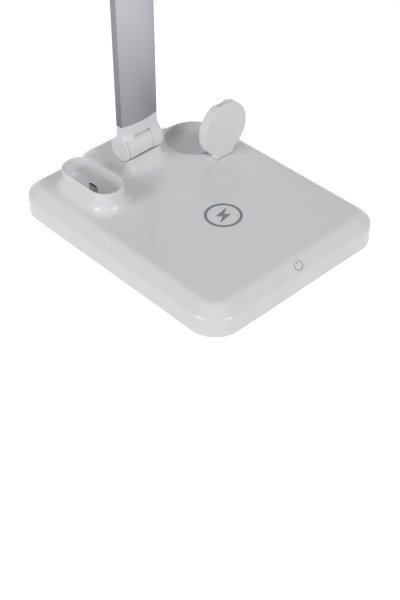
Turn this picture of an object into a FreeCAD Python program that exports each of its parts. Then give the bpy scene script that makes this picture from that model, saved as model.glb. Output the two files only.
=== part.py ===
"""Folding desk lamp on a charging base, with an earbud cup and a fold-up watch stand.

Millimetres. The origin is the middle of the base on the table top. +Z is up and -Y is the front edge.
"""
import FreeCAD, Part
import math
import os
import Sketcher

# Driving sizes: the name of each is its alias in the sheet
SIZES = {
    # Fits shared by the whole lamp
    "overrun": 1.0,
    "seat_gap": 0.1,
    "slip_gap": 0.2,
    "swing_gap": 0.4,
    "running_gap": 0.05,
    "press_gap": 0.02,
    # Base cover
    "base_width": 160.0,
    "base_depth": 200.0,
    "foot_stand": 0.6,
    "side_height": 13.5,
    "slope_run": 9.0,
    "slope_rise": 7.3,
    "corner_radius": 20.0,
    "crown_round": 7.0,
    "crease_round": 3.0,
    "cover_wall": 2.2,
    "notch_round": 12.0,
    "notch_hollow": 5.0,
    "bump_width": 47.0,
    "bump_out": 4.4,
    "bump_overlap": 55.0,
    "bump_corner": 12.0,
    "bay_radius": 31.2,
    "bay_setback": 44.1,
    # Earbud cup
    "cup_inset": 31.6,
    "cup_front_setback": 61.0,
    "cup_rear_setback": 33.4,
    "cup_half_width": 12.6,
    "cup_wall": 1.5,
    "cup_height": 15.0,
    "cup_floor_rise": 0.8,
    "cup_skirt": 6.4,
    "skirt_margin": 0.3,
    "cup_rim_round": 0.6,
    "cup_floor_round": 4.5,
    # Dock plug
    "plug_length": 8.2,
    "plug_width": 2.6,
    "plug_height": 6.0,
    "plug_shell": 0.35,
    "plug_mouth_depth": 4.8,
    "plug_tongue": 0.8,
    "holder_length": 14.0,
    "holder_width": 9.0,
    "holder_height": 6.0,
    # Hinge pedestal and knuckle
    "hinge_setback": 39.0,
    "hinge_height": 38.6,
    "barrel_radius": 9.4,
    "pedestal_width": 33.0,
    "pedestal_depth": 18.0,
    "pedestal_height": 10.5,
    "pedestal_corner": 5.0,
    "pedestal_skirt": 8.5,
    "pedestal_edge": 0.8,
    "knuckle_width": 14.2,
    "knuckle_inset": 0.3,
    "neck_width": 13.0,
    "neck_depth": 9.0,
    "socket_floor": 3.0,
    "knuckle_screw_x": 4.0,
    "knuckle_screw_grip": 9.0,
    # Hinge hardware, the same at both hinges
    "shaft_radius": 3.0,
    "shaft_head_radius": 4.8,
    "shaft_head_height": 1.6,
    "nut_flats": 8.0,
    "nut_height": 3.0,
    "washer_radius": 6.5,
    "washer_height": 0.8,
    "ear_end": 14.9,
    "ear_bore_depth": 3.4,
    "ear_bore_radius": 6.0,
    "cap_height": 1.5,
    "cap_groove": 0.4,
    "cap_edge": 0.4,
    "cap_collar": 0.7,
    "cap_collar_depth": 1.0,
    # Arm
    "arm_reach": 300.0,
    "tube_width": 33.0,
    "tube_edge": 5.0,
    "tube_bow": 2.6,
    "tube_wall": 1.4,
    "tube_corner": 0.4,
    "tube_start": 19.0,
    "lower_root_round": 7.5,
    "upper_root_round": 2.5,
    "window_reach": 10.1,
    "spigot_length": 18.0,
    "wire_way_radius": 2.2,
    "cable_radius": 1.9,
    # Small screws in the arm and the head
    "lock_screw_x": 8.0,
    "lock_screw_reach": 9.0,
    "lock_head_radius": 2.2,
    "lock_head_height": 1.3,
    "lock_shank_radius": 1.2,
    "lock_shank_length": 4.0,
    "lock_sink": 0.7,
    # Lamp head
    "head_reach": 280.0,
    "head_width": 33.0,
    "head_under": 1.8,
    "head_edge": 5.5,
    "head_wall": 1.3,
    "head_collar_start": 10.2,
    "head_collar_length": 5.8,
    "head_spigot_width": 25.0,
    "head_spigot_height": 2.6,
    "head_spigot_length": 14.0,
    "end_cap_length": 4.0,
    "end_plug_length": 6.0,
    "diffuser_height": 1.5,
    "diffuser_ledge": 1.5,
    "board_height": 1.2,
    "led_board_width": 24.0,
    "led_side": 2.8,
    "led_height": 0.8,
    "led_row_gap": 10.0,
    "led_pitch": 14.0,
    # Watch stand
    "stand_inset": 30.5,
    "stand_setback": 72.6,
    "stand_axis_depth": 4.9,
    "stand_reach": 27.7,
    "disc_radius": 20.5,
    "disc_rear": 2.2,
    "disc_bevel": 0.35,
    "disc_rear_round": 1.8,
    "stand_neck_width": 16.2,
    "stand_neck_round": 2.2,
    "disc_front_wall": 1.6,
    "disc_side_wall": 4.2,
    "disc_ledge": 1.2,
    "back_height": 1.2,
    "scoop_radius": 12.0,
    "scoop_depth": 2.8,
    "scoop_lip": 1.2,
    "pin_radius": 1.25,
    "pocket_gap": 1.3,
    "pocket_floor_gap": 0.6,
    "pocket_flare": 0.4,
    "slot_relief": 0.8,
    "tub_wall": 1.8,
    "watch_coil_outer": 10.5,
    "watch_coil_inner": 5.5,
    "watch_coil_height": 1.4,
    "magnet_radius": 4.4,
    "magnet_height": 2.6,
    "stand_boss_radius": 2.3,
    "stand_boss_reach": 13.6,
    "stand_screw_radius": 0.9,
    "stand_screw_head": 1.6,
    "stand_screw_head_height": 0.8,
    "stand_screw_length": 4.0,
    # Base plate and what stands on it
    "plate_height": 2.0,
    "grip_inset": 5.0,
    "grip_width": 5.0,
    "grip_height": 1.1,
    "screw_inset": 20.0,
    "screw_middle_y": 2.0,
    "screw_rear_x": 30.0,
    "screw_rear_setback": 16.0,
    "boss_radius": 3.6,
    "plate_boss_radius": 5.0,
    "plate_boss_height": 2.0,
    "screw_radius": 1.45,
    "screw_head_radius": 2.8,
    "screw_head_height": 1.8,
    "screw_head_sink": 2.4,
    "screw_length": 10.0,
    "ballast_inset": 28.0,
    "ballast_depth": 84.0,
    "ballast_height": 4.5,
    "ballast_y": -34.0,
    "vent_length": 22.0,
    "vent_width": 2.0,
    "vent_pitch": 5.0,
    "vent_y": 30.0,
    # Electronics
    "coil_y": -27.0,
    "coil_outer": 24.0,
    "coil_inner": 10.5,
    "coil_height": 1.3,
    "ferrite_side": 53.0,
    "ferrite_height": 0.8,
    "control_x": -6.0,
    "control_y": 26.0,
    "control_width": 60.0,
    "control_depth": 34.0,
    "control_rise": 5.0,
    "control_post_radius": 2.6,
    "control_post_inset": 4.0,
    "chip_side": 7.0,
    "chip_height": 1.2,
    "choke_radius": 4.0,
    "choke_height": 4.0,
    "choke_pitch": 14.0,
    "touch_radius": 5.5,
    "touch_height": 0.4,
    "inlet_width": 9.0,
    "inlet_height": 3.3,
    "inlet_depth": 7.4,
    "inlet_shell": 0.35,
    "inlet_mouth_depth": 6.2,
    "inlet_tongue_width": 6.7,
    "inlet_tongue_height": 0.8,
    "inlet_rise": 5.4,
    "inlet_set_in": 0.4,
    "inlet_board_width": 14.0,
    "inlet_board_depth": 15.0,
}

# Pure shapes and counts, with no length in them
DIAGONAL_SHARE = math.sqrt(0.5)
NOTCH_TANGENT_SHARE = math.tan(math.radians(45.0) / 2)
LED_ROWS = 2
VENT_COUNT = 9
CHOKE_COUNT = 3
STAND_SCREW_COUNT = 3
NUT_SIDES = 6

doc = FreeCAD.newDocument("folding_desk_lamp")
sheet = doc.addObject("Spreadsheet::Sheet", "sizes")
for row, (alias, number) in enumerate(SIZES.items(), start=1):
    sheet.set(f"A{row}", alias)
    sheet.set(f"B{row}", str(number))
    sheet.setAlias(f"B{row}", alias)
doc.recompute()


class Size:
    """A size with its number and the sheet formula that it comes from."""

    def __init__(self, number, formula):
        self.number = float(number)
        self.formula = formula

    def joined(self, sign, other, number):
        return Size(number, f"({self.formula} {sign} {as_size(other).formula})")

    def __add__(self, other):
        return self.joined("+", other, self.number + as_size(other).number)

    def __sub__(self, other):
        return self.joined("-", other, self.number - as_size(other).number)

    def __mul__(self, other):
        return self.joined("*", other, self.number * as_size(other).number)

    def __truediv__(self, other):
        return self.joined("/", other, self.number / as_size(other).number)

    def __rmul__(self, other):
        return as_size(other) * self

    def __neg__(self):
        return Size(-self.number, f"(0 - {self.formula})")


def as_size(value):
    """A plain number as a Size, and a Size as it is."""
    return value if isinstance(value, Size) else Size(value, repr(float(value)))


class Sheet:
    """The sheet's cells as Sizes, each under its alias."""

    def __getattr__(self, alias):
        return Size(sheet.get(alias), f"sizes.{alias}")


s = Sheet()
ZERO = as_size(0)
UP = FreeCAD.Vector(0, 0, 1)
ALONG_X = FreeCAD.Rotation(FreeCAD.Vector(0, 1, 0), 90)
ALONG_Y = FreeCAD.Rotation(FreeCAD.Vector(1, 0, 0), -90)
UPRIGHT = FreeCAD.Rotation()
nodes = []


# Making and placing objects
def bind(thing, **properties):
    """Tie properties of an object to their sheet formulas."""
    for name, size in properties.items():
        thing.setExpression(name, as_size(size).formula)
    return thing


def place(thing, x=ZERO, y=ZERO, z=ZERO, turn=UPRIGHT):
    """Stand an object at a place worked out from the sheet."""
    thing.Placement = FreeCAD.Placement(FreeCAD.Vector(), turn)
    for axis, size in zip("xyz", (x, y, z)):
        thing.setExpression(f"Placement.Base.{axis}", as_size(size).formula)
    return thing


def node(label, thing):
    """Name a finished piece and put it on the list of files."""
    thing.Label = label
    nodes.append(thing)
    return thing


def box(name, low, high):
    """A block between two corners, each three Sizes."""
    block = doc.addObject("Part::Box", name)
    spans = [as_size(b) - a for a, b in zip(low, high)]
    bind(block, Length=spans[0], Width=spans[1], Height=spans[2])
    return place(block, *low)


def block_about(name, x, y, width, depth, bottom, top):
    """A block with its middle over (x, y)."""
    x, y = as_size(x), as_size(y)
    return box(name, (x - width / 2, y - depth / 2, bottom), (x + width / 2, y + depth / 2, top))


def rod(name, radius, height, x=ZERO, y=ZERO, z=ZERO, turn=UPRIGHT):
    """A round rod that starts at (x, y, z) and runs along the turned Z axis."""
    cylinder = doc.addObject("Part::Cylinder", name)
    bind(cylinder, Radius=radius, Height=height)
    return place(cylinder, x, y, z, turn)


def cross_rod(name, radius, half_width, x=ZERO, y=ZERO, z=ZERO):
    """A rod along X, as long to the left of x as to the right."""
    return rod(name, radius, half_width * 2, as_size(x) - half_width, y, z, ALONG_X)


def join(name, *parts):
    """One solid from several."""
    union = doc.addObject("Part::MultiFuse", name)
    union.Shapes = list(parts)
    union.Refine = True
    return union


def carve(name, base, *tools):
    """The base with the tools cut out of it."""
    result = doc.addObject("Part::Cut", name)
    result.Base = base
    result.Tool = tools[0] if len(tools) == 1 else join(name + "_tools", *tools)
    result.Refine = True
    return result


def gather(name, parts):
    """Separate solids kept together as one group."""
    group = doc.addObject("Part::Compound", name)
    group.Links = list(parts)
    return group


# Sketches and the features on them
def body(name):
    return doc.addObject("PartDesign::Body", name)


def sketch(owner, name, plane="XY_Plane", lift=ZERO):
    """An empty sketch on one of the body's own planes, lifted along that plane's normal."""
    drawing = owner.newObject("Sketcher::SketchObject", name)
    support = [feature for feature in owner.Origin.OriginFeatures if feature.Role == plane][0]
    drawing.AttachmentSupport = [(support, "")]
    drawing.MapMode = "FlatFace"
    drawing.setExpression("AttachmentOffset.Base.z", as_size(lift).formula)
    return drawing


def arc(start, end, radius, hollow):
    """The short arc between two points, bulging outward on a loop drawn anticlockwise unless it is hollow."""
    first, last = (end, start) if hollow else (start, end)
    chord = last - first
    left = UP.cross(chord).normalize()
    centre = (first + last) / 2 + left * math.sqrt(max(radius ** 2 - (chord.Length / 2) ** 2, 0))
    turn_from = math.atan2(first.y - centre.y, first.x - centre.x)
    turn_to = math.atan2(last.y - centre.y, last.x - centre.x)
    return Part.ArcOfCircle(Part.Circle(centre, UP, radius), turn_from, turn_to)


def loop(drawing, corners):
    """Close a loop whose corners are (x, y), or (x, y, radius) where the edge to the next corner is an arc.

    A fourth entry, True, makes that arc hollow.
    """
    start = drawing.GeometryCount
    points = [FreeCAD.Vector(as_size(c[0]).number, as_size(c[1]).number, 0) for c in corners]
    ends = []
    for place_in_loop, corner in enumerate(corners):
        here, there = points[place_in_loop], points[(place_in_loop + 1) % len(points)]
        hollow = len(corner) > 3 and corner[3]
        if len(corner) > 2:
            drawing.addGeometry(arc(here, there, as_size(corner[2]).number, hollow))
        else:
            drawing.addGeometry(Part.LineSegment(here, there))
        ends.append((2, 1) if hollow else (1, 2))
    for place_in_loop, corner in enumerate(corners):
        edge = start + place_in_loop
        following = (place_in_loop + 1) % len(corners)
        drawing.addConstraint(Sketcher.Constraint(
            "Coincident", edge, ends[place_in_loop][1], start + following, ends[following][0]))
        for kind, size in (("DistanceX", corner[0]), ("DistanceY", corner[1])):
            number = drawing.addConstraint(Sketcher.Constraint(
                kind, -1, 1, edge, ends[place_in_loop][0], as_size(size).number))
            drawing.setExpression(f"Constraints[{number}]", as_size(size).formula)
        if len(corner) > 2:
            number = drawing.addConstraint(Sketcher.Constraint("Radius", edge, as_size(corner[2]).number))
            drawing.setExpression(f"Constraints[{number}]", as_size(corner[2]).formula)
    return drawing


def ring(drawing, x, y, radius):
    """A full circle about (x, y)."""
    centre = FreeCAD.Vector(as_size(x).number, as_size(y).number, 0)
    edge = drawing.addGeometry(Part.Circle(centre, UP, as_size(radius).number))
    for kind, size in (("DistanceX", x), ("DistanceY", y)):
        number = drawing.addConstraint(Sketcher.Constraint(kind, -1, 1, edge, 3, as_size(size).number))
        drawing.setExpression(f"Constraints[{number}]", as_size(size).formula)
    number = drawing.addConstraint(Sketcher.Constraint("Radius", edge, as_size(radius).number))
    drawing.setExpression(f"Constraints[{number}]", as_size(radius).formula)
    return drawing


def pad(owner, name, profile, length, both_ways=False):
    feature = owner.newObject("PartDesign::Pad", name)
    feature.Profile = profile
    feature.SideType = "Symmetric" if both_ways else "One side"
    return bind(feature, Length=length)


def pocket(owner, name, profile, length, both_ways=False, reverse=False):
    feature = owner.newObject("PartDesign::Pocket", name)
    feature.Profile = profile
    feature.SideType = "Symmetric" if both_ways else "One side"
    feature.Reversed = reverse
    return bind(feature, Length=length)


def edges_where(feature, test):
    """The names of a feature's edges that pass a test."""
    doc.recompute()
    edges = feature.Shape.Edges
    return [f"Edge{i}" for i, edge in enumerate(edges, start=1) if test(edge)]


def level(edge, height):
    """True for an edge that lies flat at a height."""
    room = edge.BoundBox
    return abs(room.ZMin - height) < FINE and abs(room.ZMax - height) < FINE


def within(edge, x_low, x_high, y_low, y_high):
    """True for an edge that stays inside a rectangle seen from above."""
    room = edge.BoundBox
    across = room.XMin > x_low.number - FINE and room.XMax < x_high.number + FINE
    return across and room.YMin > y_low.number - FINE and room.YMax < y_high.number + FINE


def fillet(owner, name, base, edges, radius):
    feature = owner.newObject("PartDesign::Fillet", name)
    feature.Base = (base, edges)
    return bind(feature, Radius=radius)


FINE = 1e-4


def rounded_box(x, half_x, y_low, y_high, radius):
    """Corners of a rectangle about x with round corners."""
    x = as_size(x)
    left, right = x - half_x, x + half_x
    return [
        (left + radius, y_low), (right - radius, y_low, radius),
        (right, y_low + radius), (right, y_high - radius, radius),
        (right - radius, y_high), (left + radius, y_high, radius),
        (left, y_high - radius), (left, y_low + radius, radius),
    ]


def long_round(x, y_front, y_rear, half_width):
    """Corners of a long round outline along Y, with each end as two quarter arcs."""
    return [
        (x + half_width, y_front), (x + half_width, y_rear, half_width),
        (x, y_rear + half_width, half_width), (x - half_width, y_rear),
        (x - half_width, y_front, half_width), (x, y_front - half_width, half_width),
    ]


def bowed(y, half_width, edge_half, bow, flat_under=False):
    """Corners of a bar section whose front and back faces bow outward by the same rise."""
    radius = (half_width * half_width + bow * bow) / (bow * 2)
    under = () if flat_under else (radius,)
    return [
        (-half_width, y - edge_half, *under), (half_width, y - edge_half),
        (half_width, y + edge_half, radius), (-half_width, y + edge_half),
    ]


# Levels and places that several pieces share
cover_top = s.foot_stand + s.side_height + s.slope_rise
cover_ceiling = cover_top - s.cover_wall
plate_top = s.foot_stand + s.plate_height
bay_x = s.base_width / 2 - s.bay_radius
bay_y = s.base_depth / 2 - s.bay_setback
bump_start = s.base_depth / 2 - s.bump_overlap
cup_x = s.cup_inset - s.base_width / 2
cup_front_y = s.base_depth / 2 - s.cup_front_setback
cup_rear_y = s.base_depth / 2 - s.cup_rear_setback
hinge_y = s.base_depth / 2 - s.hinge_setback
stand_x = s.base_width / 2 - s.stand_inset
stand_axis_y = s.base_depth / 2 - s.stand_setback
screw_x = s.base_width / 2 - s.screw_inset
screw_front_y = s.base_depth / 2 - s.screw_inset
screw_rear_y = s.base_depth / 2 - s.screw_rear_setback
cup_rim = cover_top + s.cup_height
cup_floor = cover_top + s.cup_floor_rise
cup_middle_y = (cup_front_y + cup_rear_y) / 2
pedestal_top = cover_top + s.pedestal_height
stand_axis_z = cover_top - s.stand_axis_depth
stand_y = stand_axis_y + s.stand_reach
bump_rear = s.base_depth / 2 + s.bump_out
tube_bottom = s.hinge_height + s.tube_start
upper_height = s.hinge_height + s.arm_reach
tube_middle_half = s.tube_edge / 2 + s.tube_bow
upper_setback = s.barrel_radius - tube_middle_half
upper_y = hinge_y - upper_setback


# Base cover
def base_outline(inset):
    """Corners of the base from above: three round corners, and one that swings round the watch pocket."""
    half_x, half_y = s.base_width / 2 - inset, s.base_depth / 2 - inset
    corner, bay = s.corner_radius - inset, s.bay_radius - inset
    hollow, notch = s.notch_hollow + inset, s.notch_round - inset
    hollow_x = bay_x - hollow * DIAGONAL_SHARE
    hollow_y = bay_y + bay + hollow * (1 - DIAGONAL_SHARE)
    notch_x = hollow_x - (half_y - hollow_y)
    tangent = notch * NOTCH_TANGENT_SHARE
    return [
        (-half_x + corner, -half_y), (half_x - corner, -half_y, corner),
        (half_x, -half_y + corner), (half_x, bay_y, bay),
        (bay_x, bay_y + bay, hollow, True), (hollow_x, hollow_y),
        (notch_x + tangent * DIAGONAL_SHARE, half_y - tangent * DIAGONAL_SHARE, notch),
        (notch_x - tangent, half_y), (-half_x + corner, half_y, corner),
        (-half_x, half_y - corner), (-half_x, -half_y + corner, corner),
    ]


def bump_outline(inset):
    """Corners of the housing that stands out of the rear edge behind the hinge."""
    half_x, rear, corner = s.bump_width / 2 - inset, bump_rear - inset, s.bump_corner - inset
    return [
        (-half_x, bump_start), (half_x, bump_start), (half_x, rear - corner, corner),
        (half_x - corner, rear), (-half_x + corner, rear, corner), (-half_x, rear - corner),
    ]


def sloped_slab(name, outline, height, rounded):
    """A slab with its top edge sloped, and with the slope's edges eased where it shows."""
    slab = body(name)
    block = pad(slab, name + "_pad", loop(sketch(slab, name + "_outline"), outline), height)
    front = outline[0][1].number
    open_front = outline[0][1].number > 0

    def on_rim(edge, at):
        return level(edge, at) and not (open_front and abs(edge.BoundBox.YMax - front) < FINE)

    slope = slab.newObject("PartDesign::Chamfer", name + "_slope")
    slope.Base = (block, edges_where(block, lambda edge: on_rim(edge, height.number)))
    slope.ChamferType = "Two distances"
    bind(slope, Size=s.slope_rise, Size2=s.slope_run)
    if rounded:
        crown = edges_where(slope, lambda edge: on_rim(edge, height.number))
        eased = fillet(slab, name + "_crown", slope, crown, s.crown_round)
        crease_level = height.number - s.slope_rise.number
        crease = edges_where(eased, lambda edge: on_rim(edge, crease_level))
        fillet(slab, name + "_crease", eased, crease, s.crease_round)
    return slab


outer_height = s.side_height + s.slope_rise
inner_height = outer_height - s.cover_wall + s.overrun
outer_parts = []
inner_parts = []
for part_name, outline in (("main", base_outline), ("bump", bump_outline)):
    outer = sloped_slab(part_name + "_outer", outline(ZERO), outer_height, True)
    outer_parts.append(place(outer, z=s.foot_stand))
    inner = sloped_slab(part_name + "_inner", outline(s.cover_wall), inner_height, False)
    inner_parts.append(place(inner, z=s.foot_stand - s.overrun))
cover_shell = carve("cover_shell", join("cover_outside", *outer_parts), join("cover_inside", *inner_parts))

# Cup for the earbud case, with a smooth skirt down to the cover
cup_body = place(body("cup_body"), z=cover_ceiling)
cup_spread = s.cup_half_width + s.cup_skirt + s.skirt_margin
cup_sheet = loop(sketch(cup_body, "cup_sheet"), long_round(cup_x, cup_front_y, cup_rear_y, cup_spread))
pad(cup_body, "cup_sheet_pad", cup_sheet, s.cover_wall)
cup_outline = loop(sketch(cup_body, "cup_outline"),
                   long_round(cup_x, cup_front_y, cup_rear_y, s.cup_half_width))
cup_wall_pad = pad(cup_body, "cup_wall_pad", cup_outline, s.cover_wall + s.cup_height)


cup_foot_edges = edges_where(cup_wall_pad, lambda edge: level(edge, s.cover_wall.number) and within(
    edge, cup_x - s.cup_half_width, cup_x + s.cup_half_width, cup_front_y - s.cup_half_width,
    cup_rear_y + s.cup_half_width))
cup_foot = fillet(cup_body, "cup_foot", cup_wall_pad, cup_foot_edges, s.cup_skirt)
cup_hollow = loop(sketch(cup_body, "cup_hollow", lift=s.cover_wall + s.cup_height),
                  long_round(cup_x, cup_front_y, cup_rear_y, s.cup_half_width - s.cup_wall))
cup_room = pocket(cup_body, "cup_room", cup_hollow, s.cup_height - s.cup_floor_rise)
cup_rim_level = (s.cover_wall + s.cup_height).number
cup_edged = fillet(cup_body, "cup_rim", cup_room,
                   edges_where(cup_room, lambda edge: level(edge, cup_rim_level)), s.cup_rim_round)
cup_floor_level = (s.cover_wall + s.cup_floor_rise).number
fillet(cup_body, "cup_floor_round", cup_edged,
       edges_where(cup_edged, lambda edge: level(edge, cup_floor_level)), s.cup_floor_round)

# Pedestal of the base hinge, hollowed for the barrel that turns above it
pedestal = place(body("pedestal"), z=cover_ceiling)
pedestal_spread = s.pedestal_skirt + s.skirt_margin
pedestal_low, pedestal_high = hinge_y - s.pedestal_depth / 2, hinge_y + s.pedestal_depth / 2
pedestal_sheet = rounded_box(ZERO, s.pedestal_width / 2 + pedestal_spread, pedestal_low - pedestal_spread,
                             pedestal_high + pedestal_spread, s.pedestal_corner + pedestal_spread)
pad(pedestal, "pedestal_sheet_pad", loop(sketch(pedestal, "pedestal_sheet"), pedestal_sheet), s.cover_wall)
pedestal_outline = rounded_box(ZERO, s.pedestal_width / 2, pedestal_low, pedestal_high, s.pedestal_corner)
pedestal_block = pad(pedestal, "pedestal_block",
                     loop(sketch(pedestal, "pedestal_outline"), pedestal_outline),
                     s.cover_wall + s.pedestal_height)
pedestal_foot_edges = edges_where(pedestal_block, lambda edge: level(edge, s.cover_wall.number) and within(
    edge, -s.pedestal_width / 2, s.pedestal_width / 2, pedestal_low, pedestal_high))
pedestal_foot = fillet(pedestal, "pedestal_foot", pedestal_block, pedestal_foot_edges, s.pedestal_skirt)
pedestal_rim_level = (s.cover_wall + s.pedestal_height).number
fillet(pedestal, "pedestal_rim", pedestal_foot,
       edges_where(pedestal_foot, lambda edge: level(edge, pedestal_rim_level)), s.pedestal_edge)

# Tub that the watch stand folds into, with a deeper slot for its neck
pocket_radius = s.disc_radius + s.pocket_gap
pocket_floor = stand_axis_z - s.disc_rear - s.pocket_floor_gap
slot_half = s.stand_neck_width / 2 + s.swing_gap
slot_front = stand_axis_y - s.stand_axis_depth - s.pocket_floor_gap
slot_floor = stand_axis_z - s.stand_axis_depth - s.pocket_floor_gap
tub_top = cover_ceiling + s.seat_gap
tub_half = slot_half + s.tub_wall
tub_round = rod("tub_round", pocket_radius + s.tub_wall, tub_top - pocket_floor + s.tub_wall,
                stand_x, stand_y, pocket_floor - s.tub_wall)
tub_neck = box("tub_neck", (stand_x - tub_half, slot_front - s.tub_wall, slot_floor - s.tub_wall),
               (stand_x + tub_half, stand_y, tub_top))
pocket_cut = body("pocket_cut")
pocket_profile = [
    (ZERO, pocket_floor), (pocket_radius, pocket_floor), (pocket_radius, cover_top - s.pocket_flare),
    (pocket_radius + s.pocket_flare, cover_top), (pocket_radius + s.pocket_flare, cover_top + s.overrun),
    (ZERO, cover_top + s.overrun),
]
pocket_turn = pocket_cut.newObject("PartDesign::Revolution", "pocket_turn")
pocket_turn.Profile = loop(sketch(pocket_cut, "pocket_profile", "XZ_Plane"), pocket_profile)
pocket_turn.ReferenceAxis = (pocket_turn.Profile[0], ["V_Axis"])
place(pocket_cut, stand_x, stand_y)
slot_cut = box("slot_cut", (stand_x - slot_half, slot_front, slot_floor),
               (stand_x + slot_half, stand_y - s.disc_radius / 2, cover_top + s.overrun))
slot_wide_half = slot_half + s.slot_relief
slot_wide = box("slot_wide", (stand_x - slot_wide_half, stand_axis_y + s.stand_axis_depth, slot_floor),
                (stand_x + slot_wide_half, stand_y - s.disc_radius / 2, cover_top + s.overrun))
pin_hole = cross_rod("pin_hole", s.pin_radius + s.press_gap, tub_half + s.overrun, stand_x, stand_axis_y,
                     stand_axis_z)

# Screw posts under the cover, and where they stand
screw_places = [(side * screw_x, -screw_front_y) for side in (-1, 1)]
screw_places += [(side * screw_x, s.screw_middle_y) for side in (-1, 1)]
screw_places += [(side * s.screw_rear_x, screw_rear_y) for side in (-1, 1)]
post_bottom = plate_top + s.plate_boss_height + s.seat_gap
posts = []
pilots = []
for number, (x, y) in enumerate(screw_places, start=1):
    posts.append(rod(f"post_{number}", s.boss_radius, tub_top - post_bottom, x, y, post_bottom))
    pilots.append(rod(f"pilot_{number}", s.screw_radius + s.press_gap, s.screw_length, x, y,
                      post_bottom - s.overrun))

barrel_room = cross_rod("barrel_room", s.barrel_radius + s.swing_gap, s.pedestal_width, ZERO, hinge_y,
                        s.hinge_height)
neck_room = block_about("neck_room", ZERO, hinge_y, s.neck_width + s.slip_gap * 2,
                        s.neck_depth + s.slip_gap * 2, cover_ceiling + s.socket_floor,
                        pedestal_top + s.overrun)
knuckle_holes = [
    rod(f"knuckle_hole_{side}", s.screw_radius + s.slip_gap, s.socket_floor + s.overrun * 2,
        side * s.knuckle_screw_x, hinge_y, cover_ceiling - s.overrun)
    for side in (-1, 1)
]
plug_hole = block_about("plug_hole", cup_x, cup_middle_y, s.plug_width + s.slip_gap * 2,
                        s.plug_length + s.slip_gap * 2, cover_ceiling - s.overrun, cup_floor + s.overrun)
inlet_z = s.foot_stand + s.inlet_rise + s.inlet_height / 2
inlet_hole = box("inlet_hole", (-s.inlet_width / 2 - s.slip_gap, bump_rear - s.cover_wall - s.overrun,
                                inlet_z - s.inlet_height / 2 - s.slip_gap),
                 (s.inlet_width / 2 + s.slip_gap, bump_rear + s.overrun,
                  inlet_z + s.inlet_height / 2 + s.slip_gap))
cover_solid = join("cover_solid", cover_shell, cup_body, pedestal, tub_round, tub_neck, *posts)
node("base_cover", carve("base_cover", cover_solid, pocket_cut, slot_cut, slot_wide, pin_hole, barrel_room,
                         neck_room, plug_hole, inlet_hole, *knuckle_holes, *pilots))


# Base plate with screw bosses, board posts, vents and the groove of the grip ring
def flat_slab(name, outline, height, z):
    """A plain plate with the given outline."""
    slab = body(name)
    pad(slab, name + "_pad", loop(sketch(slab, name + "_outline"), outline), height)
    return place(slab, z=z)


def framed_ring(name, outer_inset, inner_inset, height, z):
    """A ring that follows the base outline between two insets."""
    rim = body(name)
    pad(rim, name + "_pad", loop(sketch(rim, name + "_outer"), base_outline(outer_inset)), height)
    pocket(rim, name + "_room", loop(sketch(rim, name + "_inner"), base_outline(inner_inset)), height,
           reverse=True)
    return place(rim, z=z)


plate_inset = s.cover_wall + s.slip_gap
plate_parts = [flat_slab("plate_main", base_outline(plate_inset), s.plate_height, s.foot_stand),
               flat_slab("plate_bump", bump_outline(plate_inset), s.plate_height, s.foot_stand)]
plate_cuts = [framed_ring("grip_groove", s.grip_inset - s.slip_gap, s.grip_inset + s.grip_width + s.slip_gap,
                          s.grip_height - s.foot_stand + s.seat_gap + s.overrun, s.foot_stand - s.overrun)]
for number, (x, y) in enumerate(screw_places, start=1):
    plate_parts.append(rod(f"plate_boss_{number}", s.plate_boss_radius, s.plate_height + s.plate_boss_height,
                           x, y, s.foot_stand))
    plate_cuts.append(rod(f"plate_hole_{number}", s.screw_radius + s.slip_gap,
                          s.plate_height + s.plate_boss_height + s.overrun * 2, x, y,
                          s.foot_stand - s.overrun))
    plate_cuts.append(rod(f"plate_sink_{number}", s.screw_head_radius + s.slip_gap,
                          s.screw_head_sink + s.overrun, x, y, s.foot_stand - s.overrun))
control_places = [
    (s.control_x + side_x * (s.control_width / 2 - s.control_post_inset),
     s.control_y + side_y * (s.control_depth / 2 - s.control_post_inset))
    for side_x in (-1, 1) for side_y in (-1, 1)
]
control_bottom = plate_top + s.control_rise
for number, (x, y) in enumerate(control_places, start=1):
    plate_parts.append(rod(f"board_post_{number}", s.control_post_radius, s.plate_height + s.control_rise, x,
                           y, s.foot_stand))
inlet_board_top = inlet_z - s.inlet_height / 2 - s.seat_gap
inlet_board_bottom = inlet_board_top - s.board_height
inlet_board_y = bump_rear - s.cover_wall - s.slip_gap - s.inlet_board_depth / 2
plate_parts.append(block_about("inlet_rest", ZERO, inlet_board_y, s.inlet_board_width / 2,
                               s.inlet_board_depth / 2, s.foot_stand, inlet_board_bottom - s.seat_gap))
for number in range(VENT_COUNT):
    x = s.control_x + (number - (VENT_COUNT - 1) / 2) * s.vent_pitch
    plate_cuts.append(block_about(f"vent_{number}", x, s.vent_y, s.vent_width, s.vent_length,
                                  s.foot_stand - s.overrun, plate_top + s.overrun))
node("base_plate", carve("base_plate", join("plate_solid", *plate_parts), *plate_cuts))
node("grip_ring", framed_ring("grip_ring", s.grip_inset, s.grip_inset + s.grip_width, s.grip_height, ZERO))

base_screws = []
for number, (x, y) in enumerate(screw_places, start=1):
    head_seat = s.foot_stand + s.screw_head_sink
    head = rod(f"base_screw_head_{number}", s.screw_head_radius, s.screw_head_height, x, y,
               head_seat - s.seat_gap - s.screw_head_height)
    shank = rod(f"base_screw_shank_{number}", s.screw_radius,
                s.screw_length - s.screw_head_sink + s.seat_gap, x, y, head_seat - s.seat_gap)
    base_screws.append(join(f"base_screw_{number}", head, shank))
node("base_screws", gather("base_screws", base_screws))
ballast_width = s.base_width - s.ballast_inset * 2
node("ballast_plate", block_about("ballast_plate", ZERO, s.ballast_y, ballast_width, s.ballast_depth,
                                  plate_top + s.seat_gap, plate_top + s.seat_gap + s.ballast_height))

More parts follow.
